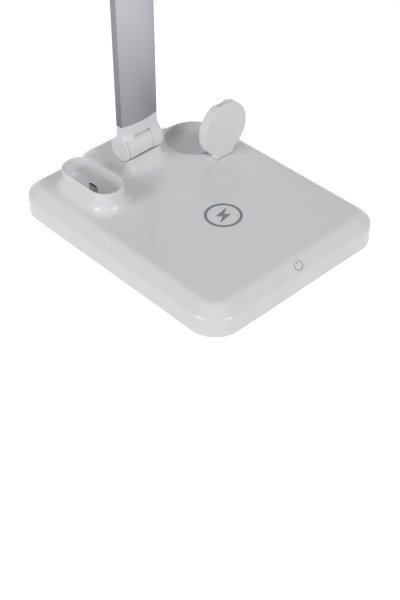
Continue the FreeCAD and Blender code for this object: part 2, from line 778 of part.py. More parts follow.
# Wireless charging coil on its ferrite sheet, glued under the charging area
coil_top = cover_ceiling - s.seat_gap
coil_bottom = coil_top - s.coil_height
coil_disc = rod("coil_disc", s.coil_outer, s.coil_height, ZERO, s.coil_y, coil_bottom)
coil_eye = rod("coil_eye", s.coil_inner, s.coil_height + s.overrun * 2, ZERO, s.coil_y,
               coil_bottom - s.overrun)
node("charging_coil", carve("charging_coil", coil_disc, coil_eye))
ferrite_top = coil_bottom - s.seat_gap
node("ferrite_sheet", block_about("ferrite_sheet", ZERO, s.coil_y, s.ferrite_side, s.ferrite_side,
                                  ferrite_top - s.ferrite_height, ferrite_top))

# Main board on its four posts, with its chip and chokes
board_bottom = control_bottom + s.seat_gap
node("control_board", block_about("control_board", s.control_x, s.control_y, s.control_width, s.control_depth,
                                  board_bottom, board_bottom + s.board_height))
parts_bottom = board_bottom + s.board_height + s.seat_gap
board_parts = [block_about("chip", s.control_x - s.control_width / 4, s.control_y, s.chip_side, s.chip_side,
                           parts_bottom, parts_bottom + s.chip_height)]
for number in range(CHOKE_COUNT):
    x = s.control_x + number * s.choke_pitch - s.choke_radius
    board_parts.append(rod(f"choke_{number}", s.choke_radius, s.choke_height, x, s.control_y, parts_bottom))
node("board_parts", gather("board_parts", board_parts))

# Touch field behind the power mark, glued to the inside of the front slope
touch_sensor = body("touch_sensor")
touch_disc = ring(sketch(touch_sensor, "touch_disc", lift=-s.seat_gap - s.touch_height), ZERO, ZERO,
                  s.touch_radius)
pad(touch_sensor, "touch_pad", touch_disc, s.touch_height)
place(touch_sensor, ZERO, -s.base_depth / 2 + s.cover_wall + s.slope_run / 2,
      cover_ceiling - s.slope_rise / 2, FreeCAD.Rotation(FreeCAD.Vector(1, 0, 0), 1))
touch_sensor.setExpression("Placement.Rotation.Angle", "atan(sizes.slope_rise / sizes.slope_run)")
node("touch_sensor", touch_sensor)

# Power inlet at the middle of the rear edge, on a small board of its own
inlet = body("power_inlet")
inlet_side = s.inlet_height / 2


def inlet_outline(inset):
    """Corners of a flat long round outline along X."""
    radius = inlet_side - inset
    flat = s.inlet_width / 2 - inlet_side
    return [
        (-flat, -radius), (flat, -radius, radius), (flat + radius, ZERO, radius), (flat, radius),
        (-flat, radius, radius), (-flat - radius, ZERO, radius),
    ]


pad(inlet, "inlet_pad", loop(sketch(inlet, "inlet_outline", "XZ_Plane"), inlet_outline(ZERO)), s.inlet_depth)
inlet_mouth = loop(sketch(inlet, "inlet_mouth", "XZ_Plane"), inlet_outline(s.inlet_shell))
pocket(inlet, "inlet_room", inlet_mouth, s.inlet_mouth_depth, reverse=True)
tongue_half_x, tongue_half_z = s.inlet_tongue_width / 2, s.inlet_tongue_height / 2
tongue = [(-tongue_half_x, -tongue_half_z), (tongue_half_x, -tongue_half_z), (tongue_half_x, tongue_half_z),
          (-tongue_half_x, tongue_half_z)]
tongue_sketch = loop(sketch(inlet, "inlet_tongue", "XZ_Plane", lift=s.inlet_shell * 2), tongue)
pad(inlet, "inlet_tongue_pad", tongue_sketch, s.inlet_depth - s.inlet_shell * 2)
node("power_inlet", place(inlet, ZERO, bump_rear - s.inlet_set_in, inlet_z))
node("inlet_board", block_about("inlet_board", ZERO, inlet_board_y, s.inlet_board_width, s.inlet_board_depth,
                                inlet_board_bottom, inlet_board_top))

# Dock plug standing in the cup, held by a block under the cup's floor
holder_top = cover_ceiling - s.seat_gap
plug_top = cup_floor + s.plug_height
plug_block = block_about("plug_block", cup_x, cup_middle_y, s.plug_width, s.plug_length, holder_top, plug_top)
plug_mouth = block_about("plug_mouth", cup_x, cup_middle_y, s.plug_width - s.plug_shell * 2,
                         s.plug_length - s.plug_shell * 2, plug_top - s.plug_mouth_depth,
                         plug_top + s.overrun)
plug_tongue = block_about("plug_tongue", cup_x, cup_middle_y, s.plug_tongue,
                          s.plug_length - s.plug_shell * 4, holder_top, plug_top - s.plug_shell)
node("dock_plug", join("dock_plug", carve("plug_shell_solid", plug_block, plug_mouth), plug_tongue))
node("dock_plug_holder", block_about("dock_plug_holder", cup_x, cup_middle_y, s.holder_width, s.holder_length,
                                     holder_top - s.seat_gap - s.holder_height, holder_top - s.seat_gap))

# Fixed knuckle of the base hinge, screwed down into its pedestal
socket_bottom = cover_ceiling + s.socket_floor + s.seat_gap
knuckle_radius = s.barrel_radius - s.knuckle_inset
knuckle_solid = join("hinge_knuckle_solid",
                     cross_rod("hinge_knuckle_barrel", knuckle_radius, s.knuckle_width / 2, ZERO, hinge_y,
                               s.hinge_height),
                     block_about("hinge_knuckle_neck", ZERO, hinge_y, s.neck_width, s.neck_depth,
                                 socket_bottom, s.hinge_height))
knuckle_cuts = [cross_rod("hinge_knuckle_bore", s.shaft_radius + s.running_gap, s.knuckle_width, ZERO,
                          hinge_y, s.hinge_height)]
knuckle_screws = []
for side in (-1, 1):
    x = side * s.knuckle_screw_x
    seat = cover_ceiling - s.seat_gap
    knuckle_cuts.append(rod(f"knuckle_pilot_{side}", s.screw_radius + s.press_gap,
                            s.knuckle_screw_grip - s.socket_floor + s.overrun * 2, x, hinge_y,
                            socket_bottom - s.overrun))
    knuckle_screws.append(join(
        f"knuckle_screw_{side}",
        rod(f"knuckle_screw_head_{side}", s.screw_head_radius, s.screw_head_height, x, hinge_y,
            seat - s.screw_head_height),
        rod(f"knuckle_screw_shank_{side}", s.screw_radius, s.knuckle_screw_grip, x, hinge_y, seat)))
node("hinge_knuckle", carve("hinge_knuckle", knuckle_solid, *knuckle_cuts))
node("knuckle_screws", gather("knuckle_screws", knuckle_screws))
node("stand_pin", cross_rod("stand_pin", s.pin_radius, tub_half, stand_x, stand_axis_y, stand_axis_z))


# Hinge hardware: the same set at the lower and the upper hinge
def hinge_hardware(which, y, z):
    """The shaft with its head, the washers, the nut and the two end caps of a hinge."""
    ear_seat = s.ear_end - s.ear_bore_depth
    shaft_end = ear_seat + s.nut_height
    head = rod(f"{which}_shaft_head", s.shaft_head_radius, s.shaft_head_height,
               -ear_seat - s.seat_gap - s.shaft_head_height, y, z, ALONG_X)
    shank = rod(f"{which}_shaft_shank", s.shaft_radius, ear_seat + s.seat_gap + shaft_end,
                -ear_seat - s.seat_gap, y, z, ALONG_X)
    node(f"{which}_shaft", join(f"{which}_shaft", head, shank))
    washers = []
    for side in (-1, 1):
        low = s.knuckle_width / 2 + s.slip_gap / 2
        start = low if side > 0 else -low - s.washer_height
        disc = rod(f"{which}_washer_disc_{side}", s.washer_radius, s.washer_height, start, y, z, ALONG_X)
        eye = rod(f"{which}_washer_eye_{side}", s.shaft_radius + s.running_gap,
                  s.washer_height + s.overrun * 2, start - s.overrun, y, z, ALONG_X)
        washers.append(carve(f"{which}_washer_{side}", disc, eye))
    node(f"{which}_washers", gather(f"{which}_washers", washers))
    prism = doc.addObject("Part::Prism", f"{which}_nut_prism")
    prism.Polygon = NUT_SIDES
    bind(prism, Circumradius=s.nut_flats / (2 * math.cos(math.pi / NUT_SIDES)), Height=s.nut_height)
    place(prism, ear_seat + s.seat_gap, y, z, ALONG_X)
    thread = rod(f"{which}_nut_thread", s.shaft_radius + s.press_gap, s.nut_height + s.overrun * 2,
                 ear_seat - s.overrun, y, z, ALONG_X)
    node(f"{which}_nut", carve(f"{which}_nut", prism, thread))
    face, outer = s.ear_end + s.seat_gap, s.ear_end + s.seat_gap + s.cap_height
    collar_outer = s.ear_bore_radius - s.press_gap * 2
    profile = [
        (face - s.cap_collar_depth, collar_outer - s.cap_collar),
        (face + s.cap_groove, collar_outer - s.cap_collar),
        (face + s.cap_groove, ZERO), (outer, ZERO), (outer, s.barrel_radius - s.cap_edge),
        (outer - s.cap_edge, s.barrel_radius), (face + s.cap_groove, s.barrel_radius),
        (face + s.cap_groove, s.barrel_radius - s.cap_groove), (face, s.barrel_radius - s.cap_groove),
        (face, collar_outer), (face - s.cap_collar_depth, collar_outer),
    ]
    for side, turn in (("left", 180), ("right", 0)):
        cap = body(f"{which}_cap_{side}")
        spun = cap.newObject("PartDesign::Revolution", f"{which}_cap_{side}_turn")
        spun.Profile = loop(sketch(cap, f"{which}_cap_{side}_profile"), profile)
        spun.ReferenceAxis = (spun.Profile[0], ["H_Axis"])
        node(f"{which}_cap_{side}", place(cap, ZERO, y, z, FreeCAD.Rotation(UP, turn)))


# Hinge brackets at both ends of the arm, drawn about their own hinge with the arm going up
def bracket(label, setback, root_round):
    """Two ears with a window between them, a bar with the tube's section, and a spigot for the tube."""
    half_width = s.tube_width / 2
    shape = body(label + "_body")
    bar = loop(sketch(shape, label + "_bar"), bowed(setback, half_width, s.tube_edge / 2, s.tube_bow))
    pad(shape, label + "_bar_pad", bar, s.tube_start - s.seat_gap)
    ears = ring(sketch(shape, label + "_ears", "YZ_Plane"), ZERO, ZERO, s.barrel_radius)
    barrel = pad(shape, label + "_ears_pad", ears, s.tube_width, both_ways=True)
    front = (setback - s.tube_edge / 2).number

    def at_front_root(edge):
        """True for the edge where the bar's front meets the barrel."""
        room = edge.BoundBox
        crossing = room.XLength > half_width.number and room.YLength < s.tube_edge.number
        return crossing and room.YMax < front + FINE and 0 < room.ZMin < s.barrel_radius.number

    fillet(shape, label + "_root", barrel, edges_where(barrel, at_front_root), root_round)
    inset = s.tube_wall + s.slip_gap
    spigot = loop(sketch(shape, label + "_spigot", lift=s.tube_start - s.overrun),
                  bowed(setback, half_width - inset, s.tube_edge / 2 - inset, s.tube_bow))
    pad(shape, label + "_spigot_pad", spigot, s.spigot_length + s.overrun)
    window_half = s.knuckle_width / 2 + s.slip_gap
    cuts = [
        box(label + "_window", (-window_half, -s.barrel_radius * 2, -s.barrel_radius - s.overrun),
            (window_half, s.barrel_radius * 2, s.window_reach)),
        cross_rod(label + "_bore", s.shaft_radius + s.press_gap, s.tube_width),
        rod(label + "_wire_way", s.wire_way_radius, s.tube_start + s.spigot_length, ZERO, setback),
    ]
    washer_seat = s.knuckle_width / 2 + s.slip_gap / 2 + s.washer_height + s.slip_gap / 2
    cuts.append(cross_rod(label + "_washer_seats", s.washer_radius + s.slip_gap, washer_seat))
    for side in (-1, 1):
        start = s.ear_end - s.ear_bore_depth if side > 0 else -s.tube_width
        length = s.tube_width - s.ear_end + s.ear_bore_depth
        cuts.append(rod(f"{label}_ear_bore_{side}", s.ear_bore_radius, length, start, turn=ALONG_X))
        start = s.ear_end if side > 0 else -s.tube_width
        cuts.append(rod(f"{label}_cap_room_{side}", s.barrel_radius + s.slip_gap, s.tube_width - s.ear_end,
                        start, turn=ALONG_X))
        cuts.append(rod(f"{label}_lock_pilot_{side}", s.lock_shank_radius + s.press_gap, s.tube_edge * 2,
                        side * s.lock_screw_x, setback - s.overrun, s.tube_start + s.lock_screw_reach,
                        ALONG_Y))
    return node(label, carve(label, shape, *cuts))


place(bracket("lower_bracket", ZERO, s.lower_root_round), ZERO, hinge_y, s.hinge_height)
hinge_hardware("lower", hinge_y, s.hinge_height)

# Arm tube: a bowed aluminium section, with holes at the back for the lock screws' heads
tube = body("arm_tube_body")
tube_length = s.arm_reach - s.tube_start * 2
tube_outline = loop(sketch(tube, "tube_outline"),
                    bowed(ZERO, s.tube_width / 2, s.tube_edge / 2, s.tube_bow))
tube_bar = pad(tube, "tube_bar", tube_outline, tube_length)
tube_edges = edges_where(tube_bar, lambda edge: edge.BoundBox.ZLength > tube_length.number - FINE)
fillet(tube, "tube_corners", tube_bar, tube_edges, s.tube_corner)
tube_bore = loop(sketch(tube, "tube_bore"), bowed(ZERO, s.tube_width / 2 - s.tube_wall,
                                                  s.tube_edge / 2 - s.tube_wall, s.tube_bow))
pocket(tube, "tube_room", tube_bore, tube_length, reverse=True)
place(tube, ZERO, hinge_y, tube_bottom)
bow_radius = (s.tube_width * s.tube_width / 4 + s.tube_bow * s.tube_bow) / (s.tube_bow * 2)
screw_fall = s.lock_screw_x * s.lock_screw_x / (bow_radius * 2)
lock_seat = tube_middle_half - screw_fall - s.lock_sink
lock_levels = (tube_bottom + s.lock_screw_reach, upper_height - s.tube_start - s.lock_screw_reach)
head_holes = []
arm_screws = []
for number, height in enumerate(lock_levels):
    for side in (-1, 1):
        x = side * s.lock_screw_x
        seat = hinge_y + lock_seat
        head_holes.append(rod(f"lock_sink_{number}_{side}", s.lock_head_radius + s.slip_gap, s.tube_edge, x,
                              seat, height, ALONG_Y))
        head_holes.append(rod(f"lock_hole_{number}_{side}", s.lock_shank_radius + s.slip_gap, s.tube_edge, x,
                              hinge_y, height, ALONG_Y))
        head = rod(f"lock_head_{number}_{side}", s.lock_head_radius, s.lock_head_height, x, seat + s.seat_gap,
                   height, ALONG_Y)
        shank = rod(f"lock_shank_{number}_{side}", s.lock_shank_radius, s.lock_shank_length, x,
                    seat + s.seat_gap - s.lock_shank_length, height, ALONG_Y)
        arm_screws.append(join(f"lock_screw_{number}_{side}", head, shank))
node("arm_tube", carve("arm_tube", tube, *head_holes))
node("arm_screws", gather("arm_screws", arm_screws))
cable_bottom, cable_top = s.hinge_height + s.window_reach, upper_height - s.window_reach
node("arm_cable", rod("arm_cable", s.cable_radius, cable_top - cable_bottom, ZERO, hinge_y, cable_bottom))

upper_turn = FreeCAD.Rotation(FreeCAD.Vector(0, 1, 0), 180)
place(bracket("upper_bracket", upper_setback, s.upper_root_round), ZERO, upper_y, upper_height, upper_turn)
hinge_hardware("upper", upper_y, upper_height)

# Lamp head, lying forward from the upper hinge
head_bottom = upper_height + s.head_under
head_top = upper_height + s.barrel_radius
head_bow = s.barrel_radius - s.head_under - s.head_edge
collar_front = upper_y - s.head_collar_start - s.head_collar_length
housing_front = upper_y - s.head_reach + s.end_cap_length
head_bow_radius = (s.head_width * s.head_width / 4 + head_bow * head_bow) / (head_bow * 2)


def head_section(side, above):
    """Corners of the lamp head's section: flat underneath, bowed on top, inset at its sides and top."""
    half, edge = s.head_width / 2 - side, head_bottom + s.head_edge - above
    radius = (half * half + head_bow * head_bow) / (head_bow * 2)
    return [(-half, head_bottom), (half, head_bottom), (half, edge, radius), (-half, edge)]


def head_bar(name, rear, front, side=ZERO, above=ZERO):
    """A stretch of the head's section between two places along Y."""
    bar = body(name)
    drawing = loop(sketch(bar, name + "_section", "XZ_Plane", lift=-rear), head_section(side, above))
    pad(bar, name + "_pad", drawing, rear - front)
    return bar


spigot_top = head_bottom + s.diffuser_height + s.slip_gap * 2 + s.head_spigot_height
spigot_bottom = spigot_top - s.head_spigot_height
head_solid = join(
    "head_knuckle_solid",
    cross_rod("head_barrel", knuckle_radius, s.knuckle_width / 2, ZERO, upper_y, upper_height),
    box("head_neck", (-s.knuckle_width / 2, collar_front + s.seat_gap, head_bottom),
        (s.knuckle_width / 2, upper_y, upper_height + knuckle_radius)),
    head_bar("head_collar", upper_y - s.head_collar_start, collar_front + s.seat_gap),
    box("head_spigot", (-s.head_spigot_width / 2, collar_front - s.head_spigot_length, spigot_bottom),
        (s.head_spigot_width / 2, collar_front + s.overrun, spigot_top)))
head_screw_y = collar_front - s.head_spigot_length / 2
head_pilots = []
housing_cuts = []
head_screws = []
head_screw_seat = head_top - s.lock_screw_x * s.lock_screw_x / (head_bow_radius * 2) - s.lock_sink
for side in (-1, 1):
    x = side * s.lock_screw_x
    head_pilots.append(rod(f"head_pilot_{side}", s.lock_shank_radius + s.press_gap, s.head_spigot_height * 2,
                           x, head_screw_y, spigot_bottom - s.overrun))
    housing_cuts.append(rod(f"head_screw_sink_{side}", s.lock_head_radius + s.slip_gap, s.barrel_radius, x,
                            head_screw_y, head_screw_seat))
    housing_cuts.append(rod(f"head_screw_hole_{side}", s.lock_shank_radius + s.slip_gap, s.barrel_radius, x,
                            head_screw_y, spigot_top))
    head_screws.append(join(
        f"head_screw_{side}",
        rod(f"head_screw_head_{side}", s.lock_head_radius, s.lock_head_height, x, head_screw_y,
            head_screw_seat + s.seat_gap),
        rod(f"head_screw_shank_{side}", s.lock_shank_radius, s.lock_shank_length, x, head_screw_y,
            head_screw_seat + s.seat_gap - s.lock_shank_length)))
head_bore = cross_rod("head_bore", s.shaft_radius + s.running_gap, s.knuckle_width, ZERO, upper_y,
                      upper_height)
node("head_knuckle", carve("head_knuckle", head_solid, head_bore, *head_pilots))
node("head_screws", gather("head_screws", head_screws))

room_half = s.head_width / 2 - s.head_wall
led_room = head_bar("led_room", collar_front + s.overrun, housing_front - s.overrun,
                    s.head_wall + s.diffuser_ledge, s.head_wall)
diffuser_room = box("diffuser_room", (-room_half, housing_front - s.overrun, head_bottom - s.overrun),
                    (room_half, collar_front + s.overrun, head_bottom + s.diffuser_height + s.seat_gap * 2))
node("head_housing", carve("head_housing", head_bar("housing_bar", collar_front, housing_front), led_room,
                           diffuser_room, *housing_cuts))
diffuser_half = room_half - s.slip_gap
node("head_diffuser", box("head_diffuser",
                          (-diffuser_half, housing_front + s.slip_gap, head_bottom + s.seat_gap),
                          (diffuser_half, collar_front - s.slip_gap,
                           head_bottom + s.seat_gap + s.diffuser_height)))
cap_front = housing_front - s.end_cap_length
end_cap = head_bar("end_cap_bar", housing_front - s.seat_gap, cap_front)
end_plug = box("end_plug", (-s.head_spigot_width / 2, housing_front - s.overrun, spigot_bottom),
               (s.head_spigot_width / 2, housing_front + s.end_plug_length, spigot_top))
node("head_end_cap", join("head_end_cap", end_cap, end_plug))
board_top = spigot_top
board_low = board_top - s.board_height
board_rear = collar_front - s.head_spigot_length - s.overrun
board_front = housing_front + s.end_plug_length + s.overrun
node("led_board", box("led_board", (-s.led_board_width / 2, board_front, board_low),
                      (s.led_board_width / 2, board_rear, board_top)))
led_room_length = (board_rear - board_front).number
led_columns = int((led_room_length - s.led_side.number) // s.led_pitch.number) + 1
led_start = (board_rear + board_front) / 2 - s.led_pitch * ((led_columns - 1) / 2)
leds = []
for row in range(LED_ROWS):
    x = s.led_row_gap * (row - (LED_ROWS - 1) / 2)
    for column in range(led_columns):
        leds.append(block_about(f"led_{row}_{column}", x, led_start + s.led_pitch * column, s.led_side,
                                s.led_side, board_low - s.seat_gap - s.led_height, board_low - s.seat_gap))
node("led_chips", gather("led_chips", leds))

# Watch stand, upright in its slot: a disc on a neck, hollow behind, closed by a round back
stand = body("stand_front_body")
disc_thickness = s.stand_axis_depth + s.disc_rear
disc_sketch = ring(sketch(stand, "disc_outline", "XZ_Plane", lift=-s.disc_rear), ZERO, s.stand_reach,
                   s.disc_radius)
pad(stand, "disc_pad", disc_sketch, disc_thickness)
neck_half = s.stand_neck_width / 2
neck_sketch = sketch(stand, "neck_outline", "XZ_Plane", lift=-s.disc_rear)
neck_corners = [(-neck_half, ZERO), (neck_half, ZERO), (neck_half, s.stand_reach),
                (-neck_half, s.stand_reach)]
stand_neck = pad(stand, "neck_pad", loop(neck_sketch, neck_corners), disc_thickness)


def where_neck_meets_disc(edge):
    """True for the two inner corners between the neck's sides and the disc."""
    room = edge.BoundBox
    side = abs(abs(room.XMin) - neck_half.number) < FINE and room.XLength < FINE
    return side and room.YLength > disc_thickness.number - FINE and room.ZLength < FINE and room.ZMin > 0


neck_eased = fillet(stand, "neck_corners", stand_neck, edges_where(stand_neck, where_neck_meets_disc),
                    s.stand_neck_round)
face_edges = edges_where(neck_eased, lambda edge: (
    edge.BoundBox.YLength < FINE and abs(edge.BoundBox.YMin + s.stand_axis_depth.number) < FINE
    and edge.BoundBox.ZMax > FINE))
bevel = stand.newObject("PartDesign::Chamfer", "face_bevel")
bevel.Base = (neck_eased, face_edges)
bind(bevel, Size=s.disc_bevel)
rear_edges = edges_where(bevel, lambda edge: (
    edge.BoundBox.YLength < FINE and abs(edge.BoundBox.YMin - s.disc_rear.number) < FINE
    and edge.BoundBox.ZMax > FINE))
fillet(stand, "rear_round", bevel, rear_edges, s.disc_rear_round)
place(stand, stand_x, stand_axis_y, stand_axis_z)

disc_z = stand_axis_z + s.stand_reach
rear_y = stand_axis_y + s.disc_rear
front_y = stand_axis_y - s.stand_axis_depth
back_radius = s.disc_radius - s.disc_side_wall + s.disc_ledge / 2
room_radius = s.disc_radius - s.disc_side_wall - s.disc_ledge / 2
room_front = front_y + s.disc_front_wall
back_room = rod("back_room", back_radius + s.slip_gap, s.back_height + s.seat_gap + s.overrun, stand_x,
                rear_y - s.back_height - s.seat_gap, disc_z, ALONG_Y)
disc_room = rod("disc_room", room_radius, rear_y - room_front, stand_x, room_front, disc_z, ALONG_Y)
boss_rear = rear_y - s.back_height - s.seat_gap * 2
stand_bosses = []
stand_pilots = []
back_holes = []
stand_screws = []
for number in range(STAND_SCREW_COUNT):
    angle = math.radians(90 + 360 * number / STAND_SCREW_COUNT)
    x = stand_x + s.stand_boss_reach * math.cos(angle)
    z = disc_z + s.stand_boss_reach * math.sin(angle)
    stand_bosses.append(rod(f"stand_boss_{number}", s.stand_boss_radius, boss_rear - room_front + s.seat_gap,
                            x, room_front - s.seat_gap, z, ALONG_Y))
    stand_pilots.append(rod(f"stand_pilot_{number}", s.stand_screw_radius + s.press_gap,
                            s.stand_screw_length, x,
                            boss_rear - s.stand_screw_length + s.overrun, z, ALONG_Y))
    back_holes.append(rod(f"back_hole_{number}", s.stand_screw_radius + s.slip_gap, s.back_height * 2, x,
                          rear_y - s.back_height - s.overrun, z, ALONG_Y))
    back_holes.append(rod(f"back_sink_{number}", s.stand_screw_head + s.slip_gap,
                          s.stand_screw_head_height * 2, x, rear_y - s.stand_screw_head_height, z, ALONG_Y))
    head = rod(f"stand_screw_head_{number}", s.stand_screw_head, s.stand_screw_head_height - s.seat_gap, x,
               rear_y - s.stand_screw_head_height + s.seat_gap, z, ALONG_Y)
    shank_start = boss_rear - s.stand_screw_length + s.overrun + s.seat_gap
    shank = rod(f"stand_screw_shank_{number}", s.stand_screw_radius,
                rear_y - s.stand_screw_head_height + s.seat_gap - shank_start, x, shank_start, z, ALONG_Y)
    stand_screws.append(join(f"stand_screw_{number}", head, shank))
finger_scoop = rod("finger_scoop", s.scoop_radius, disc_thickness, stand_x, front_y + s.scoop_lip,
                   disc_z + s.disc_radius - s.scoop_depth + s.scoop_radius, ALONG_Y)
neck_bore = cross_rod("neck_bore", s.pin_radius + s.running_gap, s.stand_neck_width, stand_x, stand_axis_y,
                      stand_axis_z)
hollow_stand = carve("hollow_stand", stand, disc_room)
neck_end = carve(
    "neck_end",
    cross_rod("neck_roll", s.stand_axis_depth, neck_half, stand_x, stand_axis_y, stand_axis_z),
    box("neck_roll_top", (stand_x - s.stand_neck_width, front_y - s.overrun, stand_axis_z),
        (stand_x + s.stand_neck_width, rear_y + s.overrun, stand_axis_z + s.stand_neck_width)),
    box("neck_roll_rear", (stand_x - s.stand_neck_width, rear_y, stand_axis_z - s.stand_neck_width),
        (stand_x + s.stand_neck_width, rear_y + s.stand_neck_width, stand_axis_z + s.stand_neck_width)))
node("stand_front", carve("stand_front", join("stand_with_bosses", hollow_stand, neck_end, *stand_bosses),
                          back_room, finger_scoop, neck_bore, *stand_pilots))
back_disc = rod("back_disc", back_radius, s.back_height, stand_x, rear_y - s.back_height, disc_z, ALONG_Y)
node("stand_back", carve("stand_back", back_disc, *back_holes))
node("stand_screws", gather("stand_screws", stand_screws))
coil_front = room_front + s.seat_gap
watch_coil = rod("watch_coil_disc", s.watch_coil_outer, s.watch_coil_height, stand_x, coil_front, disc_z,
                 ALONG_Y)
watch_eye = rod("watch_coil_eye", s.watch_coil_inner, s.watch_coil_height + s.overrun * 2, stand_x,
                coil_front - s.overrun, disc_z, ALONG_Y)
node("watch_coil", carve("watch_coil", watch_coil, watch_eye))
node("watch_magnet", rod("watch_magnet", s.magnet_radius, s.magnet_height, stand_x, coil_front, disc_z,
                         ALONG_Y))

# Check every object and every piece before anything is written
doc.recompute()
for thing in doc.Objects:
    if "Invalid" in thing.State or "Error" in thing.State:
        raise RuntimeError(f"{thing.Name} failed: {thing.State}")
for piece in nodes:
    if piece.Shape.isNull() or not piece.Shape.isValid() or not piece.Shape.Solids:
        raise RuntimeError(f"{piece.Label} has no valid solid")
os.makedirs("parts", exist_ok=True)
for piece in nodes:
    piece.Shape.exportStep(os.path.join("parts", piece.Label + ".step"))
    room = piece.Shape.BoundBox
    print(f"{piece.Label}: {len(piece.Shape.Solids)} solid, {piece.Shape.Volume / 1000:.2f} cm3, "
          f"x {room.XMin:.1f} {room.XMax:.1f}, y {room.YMin:.1f} {room.YMax:.1f}, "
          f"z {room.ZMin:.1f} {room.ZMax:.1f}")
print(len(nodes), "pieces")
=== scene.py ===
import bmesh
import bpy
import math
from mathutils import Matrix, Vector


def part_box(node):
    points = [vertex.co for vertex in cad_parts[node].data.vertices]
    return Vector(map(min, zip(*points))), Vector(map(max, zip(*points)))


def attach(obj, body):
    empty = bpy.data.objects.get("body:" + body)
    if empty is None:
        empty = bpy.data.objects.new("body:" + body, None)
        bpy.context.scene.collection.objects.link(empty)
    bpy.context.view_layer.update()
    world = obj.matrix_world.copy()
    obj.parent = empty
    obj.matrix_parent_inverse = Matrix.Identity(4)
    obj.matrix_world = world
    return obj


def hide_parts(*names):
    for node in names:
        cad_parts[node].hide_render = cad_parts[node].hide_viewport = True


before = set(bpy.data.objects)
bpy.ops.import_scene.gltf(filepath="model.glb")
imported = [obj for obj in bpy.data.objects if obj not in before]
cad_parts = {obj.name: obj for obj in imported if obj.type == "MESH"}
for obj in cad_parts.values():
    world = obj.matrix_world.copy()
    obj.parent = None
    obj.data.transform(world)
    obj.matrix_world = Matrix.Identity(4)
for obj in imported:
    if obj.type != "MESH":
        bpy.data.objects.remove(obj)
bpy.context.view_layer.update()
scene = bpy.context.scene

# Camera: a long lens held above the lamp's base, to the left of its front edge, as in the photograph. The
# lamp head and most of the arm stay above the top of the picture.
camera_data = bpy.data.cameras.new("photo_camera")
camera_data.sensor_fit = "VERTICAL"
camera_data.sensor_height = 36.0
camera_data.lens = 72.0
camera_data.clip_end = 20.0
camera = bpy.data.objects.new("photo_camera", camera_data)
camera_place = Vector((-0.459513, -0.485750, 0.513318))
look = Vector((0.51854705, 0.54471838, -0.65908333))
right = Vector((0.72428, -0.68948, 0.0)).normalized()
up = right.cross(look).normalized()
camera.matrix_world = Matrix.Translation(camera_place) @ Matrix((right, up, -look)).transposed().to_4x4()
scene.collection.objects.link(camera)
scene.camera = camera
scene.view_settings.view_transform = "Standard"

# Studio: a white table top inside a dim white tent, with two soft boxes at half height, to the left and in
# front of the lamp. Table and tent show as white to the lens, straight or mirrored, and the table keeps the
# lamp's shadow.
table_reach = 3.0
table_white = (0.86, 0.86, 0.86, 1)
table_glow = 0.62
tent_colour = (0.975, 0.97, 1.0, 1)
tent_horizon, tent_top = (0.1, 0.14), (0.9, 0.44)  # how high a direction points, and its light there
light_colour = (0.99, 0.98, 1.0)
light_aim = Vector((0, 0, 0.04))


def straight_or_mirrored(tree):
    """One for what the lens sees straight, through a clear cover or mirrored in a surface, and zero else."""
    path = tree.nodes.new("ShaderNodeLightPath")
    found = path.outputs["Is Camera Ray"]
    for kind in ("Is Transmission Ray", "Is Glossy Ray"):
        either = tree.nodes.new("ShaderNodeMath")
        either.operation = "MAXIMUM"
        tree.links.new(found, either.inputs[0])
        tree.links.new(path.outputs[kind], either.inputs[1])
        found = either.outputs[0]
    return found


table_mesh = bpy.data.meshes.new("table_top")
table_mesh.from_pydata([(-table_reach, -table_reach, 0), (table_reach, -table_reach, 0),
                        (table_reach, table_reach, 0), (-table_reach, table_reach, 0)], [], [(0, 1, 2, 3)])
table = bpy.data.objects.new("table_top", table_mesh)
scene.collection.objects.link(table)
table_paint = bpy.data.materials.new("table_white")
table_paint.use_nodes = True
tree = table_paint.node_tree
surface = tree.nodes["Principled BSDF"]
surface.inputs["Base Color"].default_value = table_white
surface.inputs["Roughness"].default_value = 0.9
surface.inputs["Specular IOR Level"].default_value = 0.0
surface.inputs["Emission Color"].default_value = (1, 1, 1, 1)
lift = tree.nodes.new("ShaderNodeMath")
lift.operation = "MULTIPLY"
lift.inputs[1].default_value = table_glow
tree.links.new(straight_or_mirrored(tree), lift.inputs[0])
tree.links.new(lift.outputs[0], surface.inputs["Emission Strength"])
table_mesh.materials.append(table_paint)

tent = bpy.data.worlds.new("light_tent")
tent.use_nodes = True
scene.world = tent
tree = tent.node_tree
tree.nodes.clear()
shown = tree.nodes.new("ShaderNodeBackground")
shown.inputs["Color"].default_value = (1, 1, 1, 1)
shown.inputs["Strength"].default_value = 1.0
around = tree.nodes.new("ShaderNodeBackground")
around.inputs["Color"].default_value = tent_colour
direction = tree.nodes.new("ShaderNodeTexCoord")
parts = tree.nodes.new("ShaderNodeSeparateXYZ")
tree.links.new(direction.outputs["Generated"], parts.inputs[0])
level = tree.nodes.new("ShaderNodeMapRange")
for end, (height, strength) in (("Min", tent_horizon), ("Max", tent_top)):
    level.inputs["From " + end].default_value = height
    level.inputs["To " + end].default_value = strength
tree.links.new(parts.outputs["Z"], level.inputs["Value"])
tree.links.new(level.outputs["Result"], around.inputs["Strength"])
pick = tree.nodes.new("ShaderNodeMixShader")
ends = tree.nodes.new("ShaderNodeOutputWorld")
tree.links.new(straight_or_mirrored(tree), pick.inputs[0])
tree.links.new(around.outputs[0], pick.inputs[1])
tree.links.new(shown.outputs[0], pick.inputs[2])
tree.links.new(pick.outputs[0], ends.inputs["Surface"])


